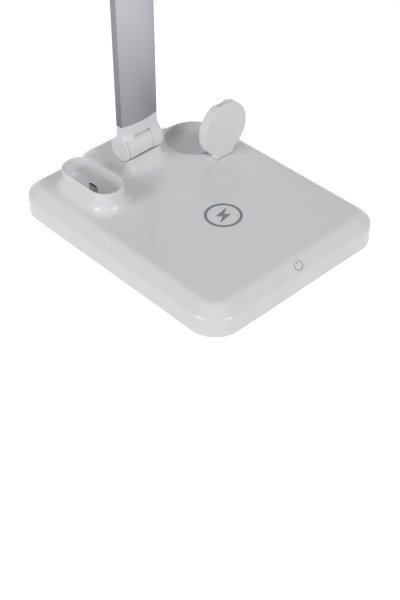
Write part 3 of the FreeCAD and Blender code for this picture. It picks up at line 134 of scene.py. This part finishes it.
def soft_box(name, place, power, width=0.6, height=0.8):
    """A studio light with a flat face that looks at the lamp's base."""
    light = bpy.data.lights.new(name, "AREA")
    light.shape = "RECTANGLE"
    light.size = width
    light.size_y = height
    light.energy = power
    light.color = light_colour
    lamp = bpy.data.objects.new(name, light)
    lamp.location = place
    lamp.rotation_euler = (light_aim - Vector(place)).to_track_quat("-Z", "Y").to_euler()
    scene.collection.objects.link(lamp)


soft_box("soft_box_left", (-1.56, 0.16, 0.66), power=11.4)
soft_box("soft_box_front", (0.136, -1.56, 0.66), power=10.2)

# Base cover: one shell of white resin, moulded with a fine satin texture. The earbud cup, the pedestal of the
# hinge and the pocket of the watch stand are part of the same moulding, and six screws from below hold it.


def effect(name, takes, gives):
    """An empty node group with named inputs and outputs, and its two end nodes."""
    group = bpy.data.node_groups.new(name, "ShaderNodeTree")
    for socket, (kind, value) in takes.items():
        made = group.interface.new_socket(name=socket, in_out="INPUT", socket_type="NodeSocket" + kind)
        made.default_value = value
    for socket, kind in gives.items():
        group.interface.new_socket(name=socket, in_out="OUTPUT", socket_type="NodeSocket" + kind)
    return group, group.nodes.new("NodeGroupInput"), group.nodes.new("NodeGroupOutput")


def math_node(tree, operation, first, second=None, third=None):
    """One step of arithmetic between sockets or numbers."""
    step = tree.nodes.new("ShaderNodeMath")
    step.operation = operation
    for place, value in enumerate((first, second, third)):
        if value is None:
            continue
        if isinstance(value, (int, float)):
            step.inputs[place].default_value = value
        else:
            tree.links.new(value, step.inputs[place])
    return step.outputs[0]


# Fine grain of a surface with a slow drift of its tone and gloss, the base of every finish on the lamp.
fine_surface, taken, given = effect(
    "fine_surface",
    {"Colour": ("Color", (0.8, 0.8, 0.8, 1)), "Roughness": ("Float", 0.4), "Grain": ("Float", 1500.0),
     "Stretch": ("Vector", (1, 1, 1)), "Drift": ("Float", 0.03), "Gloss Drift": ("Float", 0.06)},
    {"Colour": "Color", "Roughness": "Float", "Height": "Float"})
where = fine_surface.nodes.new("ShaderNodeTexCoord")
drawn_out = fine_surface.nodes.new("ShaderNodeVectorMath")
drawn_out.operation = "MULTIPLY"
fine_surface.links.new(where.outputs["Object"], drawn_out.inputs[0])
fine_surface.links.new(taken.outputs["Stretch"], drawn_out.inputs[1])
grain = fine_surface.nodes.new("ShaderNodeTexNoise")
grain.inputs["Detail"].default_value = 3.0
grain.inputs["Roughness"].default_value = 0.6
fine_surface.links.new(drawn_out.outputs[0], grain.inputs["Vector"])
fine_surface.links.new(taken.outputs["Grain"], grain.inputs["Scale"])
drift = fine_surface.nodes.new("ShaderNodeTexNoise")
drift.inputs["Scale"].default_value = 16.0
drift.inputs["Detail"].default_value = 2.0
fine_surface.links.new(where.outputs["Object"], drift.inputs["Vector"])
centred = math_node(fine_surface, "SUBTRACT", drift.outputs["Fac"], 0.5)
grained = math_node(fine_surface, "SUBTRACT", grain.outputs["Fac"], 0.5)
mottled = math_node(fine_surface, "MULTIPLY_ADD", grained, 0.5, centred)
tone = math_node(fine_surface, "MULTIPLY_ADD", mottled, taken.outputs["Drift"], 1.0)
tinted = fine_surface.nodes.new("ShaderNodeVectorMath")
tinted.operation = "SCALE"
fine_surface.links.new(taken.outputs["Colour"], tinted.inputs[0])
fine_surface.links.new(tone, tinted.inputs["Scale"])
fine_surface.links.new(tinted.outputs[0], given.inputs["Colour"])
fine_surface.links.new(math_node(fine_surface, "MULTIPLY_ADD", mottled, taken.outputs["Gloss Drift"],
                                 taken.outputs["Roughness"]), given.inputs["Roughness"])
fine_surface.links.new(grain.outputs["Fac"], given.inputs["Height"])


tallest_grain = 0.0004


def finish(name, colour, roughness, grain=1500.0, stretch=(1, 1, 1), drift=0.03, gloss_drift=0.06, depth=0.05,
           metallic=0.0):
    """A material with the fine grain in its tone, its gloss and its relief."""
    material = bpy.data.materials.new(name)
    material.use_nodes = True
    tree = material.node_tree
    surface = tree.nodes["Principled BSDF"]
    surface.inputs["Metallic"].default_value = metallic
    skin = tree.nodes.new("ShaderNodeGroup")
    skin.node_tree = fine_surface
    skin.inputs["Colour"].default_value = (*colour, 1)
    skin.inputs["Roughness"].default_value = roughness
    skin.inputs["Grain"].default_value = grain
    skin.inputs["Stretch"].default_value = stretch
    skin.inputs["Drift"].default_value = drift
    skin.inputs["Gloss Drift"].default_value = gloss_drift
    bump = tree.nodes.new("ShaderNodeBump")
    bump.inputs["Strength"].default_value = depth
    bump.inputs["Distance"].default_value = tallest_grain
    tree.links.new(skin.outputs["Colour"], surface.inputs["Base Color"])
    tree.links.new(skin.outputs["Roughness"], surface.inputs["Roughness"])
    tree.links.new(skin.outputs["Height"], bump.inputs["Height"])
    tree.links.new(bump.outputs["Normal"], surface.inputs["Normal"])
    return material


def dress(material, *names):
    """Give CAD pieces their finish."""
    for name in names:
        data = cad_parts[name].data
        data.materials.clear()
        data.materials.append(material)


satin_white = finish("satin_white_resin", (0.81, 0.81, 0.82), 0.22, grain=1700.0, drift=0.012,
                     gloss_drift=0.03, depth=0.012)
dress(satin_white, "base_cover")

# Marks printed on the cover in thin grey ink: a ring with a lightning bolt over the charging coil, and the
# usual power sign over the touch field in the front slope. Both are a few hundredths of a millimetre thick.
ink = finish("grey_ink", (0.23, 0.245, 0.265), 0.45, grain=2500.0, drift=0.05, depth=0.05)
ink_thickness = 0.00004
charging_ring_radius, charging_ring_width = 0.0122, 0.0021
charging_place = (-0.001, -0.027, 0.0214)
bolt = [(0.0021, 0.0088), (-0.0052, -0.0014), (-0.0006, -0.0014), (-0.0021, -0.0088), (0.0052, 0.0014),
        (0.0006, 0.0014)]
power_ring_radius, power_line_width = 0.0033, 0.00055
power_bar_low, power_bar_high = 0.0012, 0.0040
power_place = (0, -0.0955, 0.01775)
front_slope = math.atan2(7.3, 9.0)


def strip(mesh, inner, outer):
    """A flat closed or open band between two rows of points, thickened upward."""
    low = [[mesh.verts.new(Vector(point)) for point in row] for row in (inner, outer)]
    high = [[mesh.verts.new(Vector(point) + Vector((0, 0, ink_thickness))) for point in row]
            for row in (inner, outer)]
    closed = (Vector(inner[0]) - Vector(inner[-1])).length < 1e-9
    last = len(inner) - 1
    for step in range(last):
        mesh.faces.new((high[0][step], high[1][step], high[1][step + 1], high[0][step + 1]))
        mesh.faces.new((low[1][step], low[0][step], low[0][step + 1], low[1][step + 1]))
        for row, (a, b) in enumerate(((step, step + 1), (step + 1, step))):
            mesh.faces.new((low[row][a], high[row][a], high[row][b], low[row][b]))
    if not closed:
        mesh.faces.new((low[0][0], low[1][0], high[1][0], high[0][0]))
        mesh.faces.new((low[1][last], low[0][last], high[0][last], high[1][last]))


def arc_band(mesh, radius, width, start, stop, steps):
    """A band along an arc about the origin, between two angles in degrees."""
    angles = [math.radians(start + (stop - start) * step / steps) for step in range(steps + 1)]
    sides = (radius - width / 2, radius + width / 2)
    strip(mesh, *[[(side * math.cos(angle), side * math.sin(angle), 0) for angle in angles]
                  for side in sides])


def piece(name, mesh, material, body, smooth=True):
    """A new object from a finished mesh, with its finish, riding on a body."""
    crisp = math.radians(32)
    data = bpy.data.meshes.new(name)
    bmesh.ops.remove_doubles(mesh, verts=mesh.verts, dist=1e-7)
    bmesh.ops.recalc_face_normals(mesh, faces=mesh.faces)
    for face in mesh.faces:
        face.smooth = smooth
    for edge in mesh.edges:
        if edge.is_manifold and edge.calc_face_angle(0) > crisp:
            edge.smooth = False
    mesh.to_mesh(data)
    mesh.free()
    made = bpy.data.objects.new(name, data)
    scene.collection.objects.link(made)
    data.materials.append(material)
    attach(made, body)
    return made


mark = bmesh.new()
arc_band(mark, charging_ring_radius, charging_ring_width, 0, 360, 96)
low = [mark.verts.new((x, y, 0)) for x, y in bolt]
high = [mark.verts.new((x, y, ink_thickness)) for x, y in bolt]
mark.faces.new(high)
mark.faces.new(low[::-1])
for step in range(len(bolt)):
    after = (step + 1) % len(bolt)
    mark.faces.new((low[step], low[after], high[after], high[step]))
charging_mark = piece("charging_mark", mark, ink, "base", smooth=False)
charging_mark.data.transform(Matrix.Translation(charging_place) @ Matrix.Rotation(math.radians(-45), 4, "Z"))

mark = bmesh.new()
arc_band(mark, power_ring_radius, power_line_width, 125, 415, 48)
strip(mark, *[[(x, power_bar_low, 0), (x, power_bar_high, 0)] for x in (-0.00028, 0.00028)])
power_mark = piece("power_mark", mark, ink, "base", smooth=False)
power_mark.data.transform(Matrix.Translation(power_place) @ Matrix.Rotation(front_slope, 4, "X"))

# Base plate and grip ring: the plate is plain grey-white resin with a coarser grain, vents and screw bosses,
# and a soft rubber ring set into its groove keeps the lamp from sliding.
dress(finish("plate_resin", (0.62, 0.62, 0.63), 0.55, grain=900.0, drift=0.03, depth=0.10), "base_plate")
dress(finish("grip_rubber", (0.035, 0.035, 0.037), 0.82, grain=1300.0, drift=0.10, depth=0.25), "grip_ring")

# Screws: zinc-plated pan heads with a cross recess and a rolled thread. Six hold the cover to the plate, two
# the fixed knuckle, four the arm tube, two the lamp head and three the back of the watch stand.
plated_steel = finish("plated_steel", (0.60, 0.61, 0.63), 0.28, grain=2600.0, drift=0.08, depth=0.06,
                      metallic=1.0)


def screw(mesh, place, to, head_radius, head_height, shank_radius, length, pitch):
    """A screw with the underside of its head at a place, and its shank running along a direction."""
    sides = 24
    core = shank_radius * 0.78
    recess_depth = head_height * 0.6
    recess_top, recess_floor = head_radius * 0.56, head_radius * 0.34
    recess_arm = 0.268
    flank = pitch * 0.22
    # Radius and place along the screw, from the tip over the neck and the rim of the head to its top
    rows = [(core * 0.3, length), (core, length - core), (core, 0), (head_radius, 0),
            (head_radius, -head_height * 0.35), (head_radius * 0.90, -head_height * 0.75),
            (head_radius * 0.68, -head_height)]
    turned = Vector(to).to_track_quat("Z", "Y").to_matrix().to_4x4()
    stand = Matrix.Translation(Vector(place)) @ turned

    def add(radius, angle, along):
        return mesh.verts.new(stand @ Vector((radius * math.cos(angle), radius * math.sin(angle), along)))

    def cross(angle, size):
        """Distance to the outline of the cross recess along an angle."""
        c, s = abs(math.cos(angle)), abs(math.sin(angle))
        long, short = max(c, s), min(c, s)
        return size * min(1 / long, recess_arm / short if short > 1e-6 else 9.0)

    angles = [math.radians(360 / sides * step) for step in range(sides)]
    rings = [[add(radius, a, along) for a in angles] for radius, along in rows]
    rings.append([add(cross(a, recess_top), a, -head_height) for a in angles])
    rings.append([add(cross(a, recess_floor), a, -head_height + recess_depth) for a in angles])
    for first, second in zip(rings, rings[1:]):
        for step in range(sides):
            after = (step + 1) % sides
            mesh.faces.new((first[step], first[after], second[after], second[step]))
    mesh.faces.new(rings[0])
    mesh.faces.new(rings[-1])
    turns = int((length - core * 1.5) / pitch)
    crest, root = [], []
    for step in range(turns * sides + 1):
        angle = math.radians(360 / sides * step)
        along = pitch * (step / sides + 0.3)
        ease = min(1.0, step / sides, (turns * sides - step) / sides)
        crest.append(add(core + (shank_radius - core) * ease, angle, along))
        root.append([add(core * 0.98, angle, along + edge) for edge in (-flank, flank)])
    for step in range(turns * sides):
        mesh.faces.new((crest[step], crest[step + 1], root[step + 1][0], root[step][0]))
        mesh.faces.new((crest[step], root[step][1], root[step + 1][1], crest[step + 1]))


def mm(*numbers):
    """Millimetres as metres."""
    return tuple(number / 1000 for number in numbers)


def screw_set(node, body, to, head_radius, head_height, shank_radius, length, pitch, places):
    """All the screws of one CAD piece, which stand for it."""
    mesh = bmesh.new()
    for place in places:
        screw(mesh, mm(*place), to, *mm(head_radius, head_height, shank_radius, length, pitch))
    made = piece(node + "_threaded", mesh, plated_steel, body)
    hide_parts(node)


base_screw_places = [(side * 60, y, 2.9) for side in (-1, 1) for y in (-80, 2)]
base_screw_places += [(side * 30, 84, 2.9) for side in (-1, 1)]
screw_set("base_screws", "base", (0, 0, 1), 2.8, 1.8, 1.45, 7.6, 0.75, base_screw_places)
knuckle_places = [(side * 4, 61, 19.1) for side in (-1, 1)]
screw_set("knuckle_screws", "base", (0, 0, 1), 2.8, 1.8, 1.45, 9.0, 0.75, knuckle_places)
lock_places = [(side * 8, 64.93, z) for side in (-1, 1) for z in (66.6, 310.6)]
screw_set("arm_screws", "arm", (0, -1, 0), 2.2, 1.25, 1.2, 4.0, 0.6, lock_places)
head_places = [(side * 8, 33.7, 346.7) for side in (-1, 1)]
screw_set("head_screws", "head", (0, 0, -1), 2.2, 1.25, 1.2, 4.0, 0.6, head_places)
disc_middle_x, disc_middle_z, stand_screw_circle = 49.5, 44.2, 13.6
stand_places = [(disc_middle_x + stand_screw_circle * math.cos(math.radians(angle)), 28.9,
                 disc_middle_z + stand_screw_circle * math.sin(math.radians(angle)))
                for angle in (90, 210, 330)]
screw_set("stand_screws", "watch_stand", (0, -1, 0), 1.6, 0.68, 0.9, 3.6, 0.45, stand_places)

# Ballast plate: hot-dip zinc-coated steel, sheared to size, with the mottled spangle of its coating.
spangled_zinc = finish("spangled_zinc", (0.50, 0.52, 0.54), 0.45, grain=700.0, drift=0.10, depth=0.08,
                       metallic=1.0)
tree = spangled_zinc.node_tree
where = tree.nodes.new("ShaderNodeTexCoord")
cells = tree.nodes.new("ShaderNodeTexVoronoi")
cells.inputs["Scale"].default_value = 140.0
tree.links.new(where.outputs["Object"], cells.inputs["Vector"])
spangle = tree.nodes.new("ShaderNodeMapRange")
spangle.inputs["To Min"].default_value = 0.30
spangle.inputs["To Max"].default_value = 0.62
tree.links.new(cells.outputs["Distance"], spangle.inputs["Value"])
tree.links.new(spangle.outputs["Result"], tree.nodes["Principled BSDF"].inputs["Roughness"])
dress(spangled_zinc, "ballast_plate")

# Charging coils: flat spirals of lacquered copper wire, one under the charging area on a dark ferrite sheet
# and one in the watch stand round its magnet.
copper_wire = finish("lacquered_copper", (0.62, 0.27, 0.12), 0.30, grain=2200.0, drift=0.12, depth=0.06,
                     metallic=1.0)


def wound_coil(node, body, centre, upright, inner, outer, wire, layers):
    """A flat spiral winding in one or more layers, as a round wire, which stands for a CAD ring."""
    steps = 40
    path = bpy.data.curves.new(node + "_wound", "CURVE")
    path.dimensions = "3D"
    path.bevel_depth = wire / 2
    path.bevel_resolution = 1
    turns = (outer - inner - wire) / wire
    for layer in range(layers):
        rise = (layer - (layers - 1) / 2) * wire
        run = path.splines.new("POLY")
        count = int(turns * steps)
        run.points.add(count)
        for step in range(count + 1):
            angle = math.radians(360 / steps * step)
            radius = inner + wire / 2 + wire * step / steps
            flat = Vector((radius * math.cos(angle), radius * math.sin(angle), rise))
            if upright:
                flat = Vector((flat.x, flat.z, flat.y))
            run.points[step].co = (*(Vector(centre) + flat), 1)
    path.use_fill_caps = True
    made = bpy.data.objects.new(node + "_wound", path)
    scene.collection.objects.link(made)
    path.materials.append(copper_wire)
    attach(made, body)
    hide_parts(node)


wound_coil("charging_coil", "base", mm(0, -27, 18.45), False, 0.0105, 0.024, 0.00122, 1)
wound_coil("watch_coil", "watch_stand", mm(49.5, 24.9, 44.2), True, 0.0055, 0.0105, 0.00062, 2)
dress(finish("ferrite_black", (0.028, 0.027, 0.027), 0.6, grain=500.0, drift=0.25, depth=0.15),
      "ferrite_sheet")
dress(finish("nickel_magnet", (0.66, 0.65, 0.62), 0.16, grain=2400.0, drift=0.05, depth=0.03, metallic=1.0),
      "watch_magnet")

# Circuit boards: glass-fibre board under solder mask, green in the base and white in the lamp head, with
# copper tracks that show as raised lines. The main board carries a flat chip and three wound chokes.
board_tracks, taken, given = effect(
    "board_tracks",
    {"Mask": ("Color", (0.02, 0.16, 0.06, 1)), "Track": ("Color", (0.05, 0.26, 0.10, 1)),
     "Pitch": ("Float", 500.0)},
    {"Colour": "Color", "Height": "Float"})
where = board_tracks.nodes.new("ShaderNodeTexCoord")
squares = board_tracks.nodes.new("ShaderNodeTexBrick")
squares.inputs["Mortar Size"].default_value = 0.05
squares.inputs["Mortar Smooth"].default_value = 0.1
squares.inputs["Brick Width"].default_value = 1.7
squares.inputs["Row Height"].default_value = 0.45
squares.offset = 0.37
board_tracks.links.new(where.outputs["Object"], squares.inputs["Vector"])
board_tracks.links.new(taken.outputs["Pitch"], squares.inputs["Scale"])
laid = board_tracks.nodes.new("ShaderNodeMix")
laid.data_type = "RGBA"
board_tracks.links.new(squares.outputs["Fac"], laid.inputs["Factor"])
board_tracks.links.new(taken.outputs["Mask"], laid.inputs["A"])
board_tracks.links.new(taken.outputs["Track"], laid.inputs["B"])
board_tracks.links.new(laid.outputs["Result"], given.inputs["Colour"])
board_tracks.links.new(squares.outputs["Fac"], given.inputs["Height"])


def board_finish(name, mask, track, pitch):
    """A material of solder mask with tracks under it."""
    material = finish(name, mask, 0.38, grain=1800.0, drift=0.05, depth=0.06)
    tree = material.node_tree
    skin = next(node for node in tree.nodes if node.type == "GROUP")
    pattern = tree.nodes.new("ShaderNodeGroup")
    pattern.node_tree = board_tracks
    pattern.inputs["Mask"].default_value = (*mask, 1)
    pattern.inputs["Track"].default_value = (*track, 1)
    pattern.inputs["Pitch"].default_value = pitch
    tree.links.new(pattern.outputs["Colour"], skin.inputs["Colour"])
    raised = math_node(tree, "MULTIPLY_ADD", pattern.outputs["Height"], 0.6, skin.outputs["Height"])
    bump = next(node for node in tree.nodes if node.type == "BUMP")
    tree.links.new(raised, bump.inputs["Height"])
    return material


dress(board_finish("green_board", (0.015, 0.13, 0.05), (0.05, 0.25, 0.10), 300.0),
      "control_board", "inlet_board")
dress(board_finish("white_board", (0.78, 0.78, 0.76), (0.66, 0.66, 0.64), 220.0), "led_board")
chip_resin = finish("chip_resin", (0.022, 0.022, 0.024), 0.5, grain=2000.0, drift=0.15, depth=0.10)


def lathe(mesh, profile, stand, sides=32):
    """A turned form from (radius, height) rows, stood by a matrix, with its ends closed."""
    angles = [math.radians(360 / sides * step) for step in range(sides)]
    rings = [[mesh.verts.new(stand @ Vector((radius * math.cos(angle), radius * math.sin(angle), along)))
              for angle in angles] for radius, along in profile]
    for first, second in zip(rings, rings[1:]):
        for step in range(sides):
            after = (step + 1) % sides
            mesh.faces.new((first[step], first[after], second[after], second[step]))
    mesh.faces.new(rings[0])
    mesh.faces.new(rings[-1])


def chamfered_box(mesh, low, high, edge):
    """A block between two corners with narrow sloped edges."""
    made = bmesh.ops.create_cube(mesh, size=1.0)["verts"]
    middle = (Vector(low) + Vector(high)) / 2
    span = Vector(high) - Vector(low)
    for vert in made:
        vert.co = Vector([middle[i] + vert.co[i] * span[i] for i in range(3)])
    edges = {side for vert in made for side in vert.link_edges}
    bmesh.ops.bevel(mesh, geom=list(edges), offset=edge, segments=2, profile=0.5, affect="EDGES")


chip_low, chip_high, chip_middle = mm(-24.5, 22.5, 9.1), mm(-17.5, 29.5, 10.2), mm(-21, 26, 9.1)
legs_each_side, leg_pitch = 8, 0.8
choke_stands = [Matrix.Translation(mm(-10 + number * 14, 26, 9.0)) for number in range(3)]
choke_core = [mm(3.9, 0), mm(3.9, 0.9), mm(2.6, 1.0), mm(2.6, 3.0), mm(3.9, 3.1), mm(3.9, 3.9), mm(3.5, 4.0)]
choke_turns, turn_pitch = 9, 0.22
electronics = bmesh.new()
chamfered_box(electronics, chip_low, chip_high, 0.0002)
for side in range(4):
    for leg in range(legs_each_side):
        along = -2.8 + leg * leg_pitch
        corner = Matrix.Translation(chip_middle) @ Matrix.Rotation(math.radians(90 * side), 4, "Z")
        first, second = corner @ Vector(mm(3.4, along - 0.15, 0)), corner @ Vector(mm(4.3, along + 0.15, 0.3))
        chamfered_box(electronics, [min(a, b) for a, b in zip(first, second)],
                      [max(a, b) for a, b in zip(first, second)], 0.00003)
for stand in choke_stands:
    lathe(electronics, choke_core, stand)
board_parts = piece("board_parts_made", electronics, chip_resin, "base")
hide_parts("board_parts")
windings = bmesh.new()
rows = []
for turn_number in range(choke_turns):
    rows += [mm(2.62, 1.02 + turn_number * turn_pitch), mm(3.5, 1.13 + turn_number * turn_pitch)]
for stand in choke_stands:
    lathe(windings, rows + [mm(2.62, 3.0)], stand)
choke_windings = piece("choke_windings", windings, copper_wire, "base")

# Touch field and power inlet: a foil disc glued behind the power sign, and a socket with a drawn steel shell
# and a black tongue with gilt contacts. The dock plug in the cup is made in the same way, upright in a resin
# block.
dress(finish("sensor_foil", (0.55, 0.36, 0.20), 0.35, grain=1500.0, drift=0.08, depth=0.10, metallic=1.0),
      "touch_sensor")
shell_steel = finish("shell_steel", (0.46, 0.46, 0.47), 0.30, grain=2200.0, drift=0.06, depth=0.05,
                     metallic=1.0)
gilt = finish("gilt_contact", (0.80, 0.58, 0.24), 0.25, grain=2500.0, drift=0.08, depth=0.04, metallic=1.0)


def long_round_ring(half_long, half_short, along, sides=12):
    """Points of a long round outline at a height, with its long way along X."""
    flat = half_long - half_short
    right_end = [(flat + half_short * math.cos(a), half_short * math.sin(a), along)
                 for a in (math.radians(-90 + 180 * step / sides) for step in range(sides + 1))]
    left_end = [(-x, -y, z) for x, y, z in right_end]
    return right_end + left_end


def connector(node, stand, half_long, half_short, length, mouth, tongue_half):
    """A rounded shell that opens towards +Z, with a tongue and contacts in its mouth, for a CAD piece."""
    wall, tongue_thick = mm(0.35, 0.8)
    contact_rise = 0.00006
    shell = bmesh.new()
    soft = wall * 0.35
    sizes = [(0, 0), (0, length - soft), (soft, length), (wall - soft, length), (wall, length - soft),
             (wall, length - mouth)]
    rings = [[shell.verts.new(stand @ Vector(point))
              for point in long_round_ring(half_long - inset, half_short - inset, along)]
             for inset, along in sizes]
    for first, second in zip(rings, rings[1:]):
        for step in range(len(first)):
            after = (step + 1) % len(first)
            shell.faces.new((first[step], first[after], second[after], second[step]))
    shell.faces.new(rings[0])
    shell.faces.new(rings[-1])
    made = piece(node + "_shell", shell, shell_steel, "base")
    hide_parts(node)
    tongue = bmesh.new()
    chamfered_box(tongue, (-tongue_half, -tongue_thick / 2, length - mouth),
                  (tongue_half, tongue_thick / 2, length - wall * 2), tongue_thick * 0.2)
    inner = piece(node + "_tongue", tongue, chip_resin, "base")
    inner.data.transform(stand)
    contacts = bmesh.new()
    count = 6
    for face in (-1, 1):
        for number in range(count):
            x = (number - (count - 1) / 2) * tongue_half * 1.7 / count
            y = face * tongue_thick / 2
            y_low, y_high = sorted((y, y + face * contact_rise))
            chamfered_box(contacts, (x - tongue_half * 0.08, y_low, length - mouth * 0.8),
                          (x + tongue_half * 0.08, y_high, length - wall * 3.5), 0.00002)
    pads = piece(node + "_contacts", contacts, gilt, "base")
    pads.data.transform(stand)


inlet_stand = Matrix.Translation(mm(0, 96.6, 7.65)) @ Matrix.Rotation(math.radians(-90), 4, "X")
connector("power_inlet", inlet_stand, half_long=0.0045, half_short=0.00165, length=0.0074, mouth=0.0062,
          tongue_half=0.00335)
plug_stand = Matrix.Translation(mm(-48.4, 52.8, 19.1)) @ Matrix.Rotation(math.radians(90), 4, "Z")
connector("dock_plug", plug_stand, half_long=0.0041, half_short=0.0013, length=0.0091, mouth=0.0048,
          tongue_half=0.0031)
dress(finish("holder_resin", (0.05, 0.05, 0.052), 0.5, grain=1200.0, drift=0.08, depth=0.10),
      "dock_plug_holder")

# Hinges: the fixed knuckle, the two brackets and the end caps are moulded in a slightly lighter white than
# the base, round turned steel shafts with resin washers. Their moulded edges are rounded a little, so each is
# an eased copy of its CAD piece.


def eased(node, body, material, width, bowed=False):
    """A copy of a CAD piece with its sharp edges rounded, which stands for that piece.

    The shading of its flat faces stays flat up to the rounded edges, unless the faces are bowed."""
    least_edge, flat_enough = math.radians(30), math.radians(0.8)
    mesh = bmesh.new()
    mesh.from_mesh(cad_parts[node].data)
    for layers in (mesh.loops.layers.float_vector, mesh.loops.layers.uv):
        for layer in list(layers.values()):
            layers.remove(layer)
    bmesh.ops.remove_doubles(mesh, verts=mesh.verts, dist=1e-6)
    bmesh.ops.dissolve_limit(mesh, angle_limit=flat_enough, verts=mesh.verts, edges=mesh.edges)
    sharp = [edge for edge in mesh.edges if edge.is_manifold and edge.calc_face_angle(0) > least_edge]
    bmesh.ops.bevel(mesh, geom=sharp, offset=width, segments=2, profile=0.5, affect="EDGES",
                    clamp_overlap=True)
    made = piece(node + "_eased", mesh, material, body)
    if not bowed:
        flat_faces = made.modifiers.new("flat_faces", "WEIGHTED_NORMAL")
        flat_faces.keep_sharp = True
        flat_faces.weight = 90
    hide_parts(node)


hinge_white = finish("hinge_white_resin", (0.83, 0.83, 0.84), 0.26, grain=1700.0, drift=0.01,
                     gloss_drift=0.03, depth=0.015)
eased("hinge_knuckle", "base", hinge_white, 0.0003)
for which in ("lower", "upper"):
    eased(f"{which}_bracket", "arm", hinge_white, 0.0003)
    for side in ("left", "right"):
        eased(f"{which}_cap_{side}", "arm", hinge_white, 0.00012)
    dress(plated_steel, f"{which}_shaft", f"{which}_nut")
    dress(finish(f"{which}_washer_resin", (0.70, 0.69, 0.64), 0.35, grain=1500.0, drift=0.05, depth=0.06),
          f"{which}_washers")

# Arm: an extruded aluminium section with bowed faces, bead-blasted and anodised silver, with the faint lines
# of its extrusion along it; painted shade darkens the colour of its narrow sides, for the dark reflection
# they show. A black cable runs up inside it.
silver_colour = (0.53, 0.54, 0.56)
silver = finish("anodised_silver", silver_colour, 0.56, grain=1500.0, stretch=(1, 1, 0.05), drift=0.05,
                depth=0.07, metallic=1.0)
# Where along X the painted shade of the narrow sides begins and is full, and how far it darkens their colour.
face_end, side_start, side_shade_strength = 0.0158, 0.0162, 0.62
painted_side_shade, taken, given = effect("painted_side_shade", {"Colour": ("Color", (0.5, 0.5, 0.5, 1))}, {"Colour": "Color"})
where = painted_side_shade.nodes.new("ShaderNodeTexCoord")
parts = painted_side_shade.nodes.new("ShaderNodeSeparateXYZ")
painted_side_shade.links.new(where.outputs["Object"], parts.inputs[0])
side_shade_ramp = painted_side_shade.nodes.new("ShaderNodeMapRange")
side_shade_ramp.inputs["From Min"].default_value = face_end
side_shade_ramp.inputs["From Max"].default_value = side_start
side_shade_ramp.inputs["To Min"].default_value = 1.0
side_shade_ramp.inputs["To Max"].default_value = side_shade_strength
painted_side_shade.links.new(math_node(painted_side_shade, "ABSOLUTE", parts.outputs["X"]), side_shade_ramp.inputs["Value"])
shaded_colour = painted_side_shade.nodes.new("ShaderNodeVectorMath")
shaded_colour.operation = "SCALE"
painted_side_shade.links.new(taken.outputs["Colour"], shaded_colour.inputs[0])
painted_side_shade.links.new(side_shade_ramp.outputs["Result"], shaded_colour.inputs["Scale"])
painted_side_shade.links.new(shaded_colour.outputs[0], given.inputs["Colour"])


def paint_side_shade(material):
    """Paint shade into the colour of the narrow sides of an aluminium section, so they look darker than its
    faces.
    """
    tree = material.node_tree
    surface = tree.nodes["Principled BSDF"]
    surface.inputs["Specular Tint"].default_value = (0, 0, 0, 1)
    tone = tree.nodes.new("ShaderNodeGroup")
    tone.node_tree = painted_side_shade
    tree.links.new(surface.inputs["Base Color"].links[0].from_socket, tone.inputs["Colour"])
    tree.links.new(tone.outputs["Colour"], surface.inputs["Base Color"])


# Painted shade in the colour of the arm's narrow sides.
paint_side_shade(silver)
eased("arm_tube", "arm", silver, 0.0002, bowed=True)
dress(finish("cable_jacket", (0.02, 0.02, 0.02), 0.6, grain=1400.0, drift=0.15, depth=0.10), "arm_cable")

# Lamp head: an aluminium bar like the arm with a white resin knuckle and end cap, a milky cover below, and a
# white board with two rows of small yellow LEDs above that cover.
eased("head_knuckle", "head", hinge_white, 0.0003)
eased("head_end_cap", "head", hinge_white, 0.0003)
silver_head = finish("anodised_silver_head", silver_colour, 0.56, grain=1500.0, stretch=(1, 0.05, 1),
                     drift=0.05, depth=0.025, metallic=1.0)
# Painted shade in the colour of the head's narrow sides, as on the arm.
paint_side_shade(silver_head)
eased("head_housing", "head", silver_head, 0.0002, bowed=True)
milky = finish("milky_cover", (0.86, 0.86, 0.85), 0.42, grain=1100.0, drift=0.01, depth=0.05)
milky.node_tree.nodes["Principled BSDF"].inputs["Transmission Weight"].default_value = 0.35
dress(milky, "head_diffuser")
phosphor = finish("phosphor", (0.86, 0.62, 0.10), 0.5, grain=2600.0, drift=0.10, depth=0.10)
led_bodies, led_faces = bmesh.new(), bmesh.new()
led_low, led_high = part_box("led_chips")
columns, half_side, half_row_gap = 17, 0.0014, 0.005
lens = [mm(1.0, 0), mm(1.0, 0.08), mm(0.9, 0.12)]
facing_down = Matrix.Rotation(math.pi, 4, "X")
for row in (-1, 1):
    for number in range(columns):
        x = row * half_row_gap
        y = led_low[1] + half_side + (led_high[1] - led_low[1] - half_side * 2) * number / (columns - 1)
        chamfered_box(led_bodies, (x - half_side, y - half_side, led_low[2] + 0.0001),
                      (x + half_side, y + half_side, led_high[2]), 0.0001)
        lathe(led_faces, lens, Matrix.Translation((x, y, led_low[2] + 0.00012)) @ facing_down, 16)
led_resin = finish("led_body", (0.80, 0.80, 0.78), 0.4, drift=0.02)
led_body_piece = piece("led_chips_bodies", led_bodies, led_resin, "head")
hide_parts("led_chips")
piece("led_chips_faces", led_faces, phosphor, "head")

# Watch stand: a disc on a short neck in the same white as the base, closed behind by a thin round back, on a
# steel pin.
eased("stand_front", "watch_stand", satin_white, 0.0002)
eased("stand_back", "watch_stand", satin_white, 0.0002)
dress(plated_steel, "stand_pin")
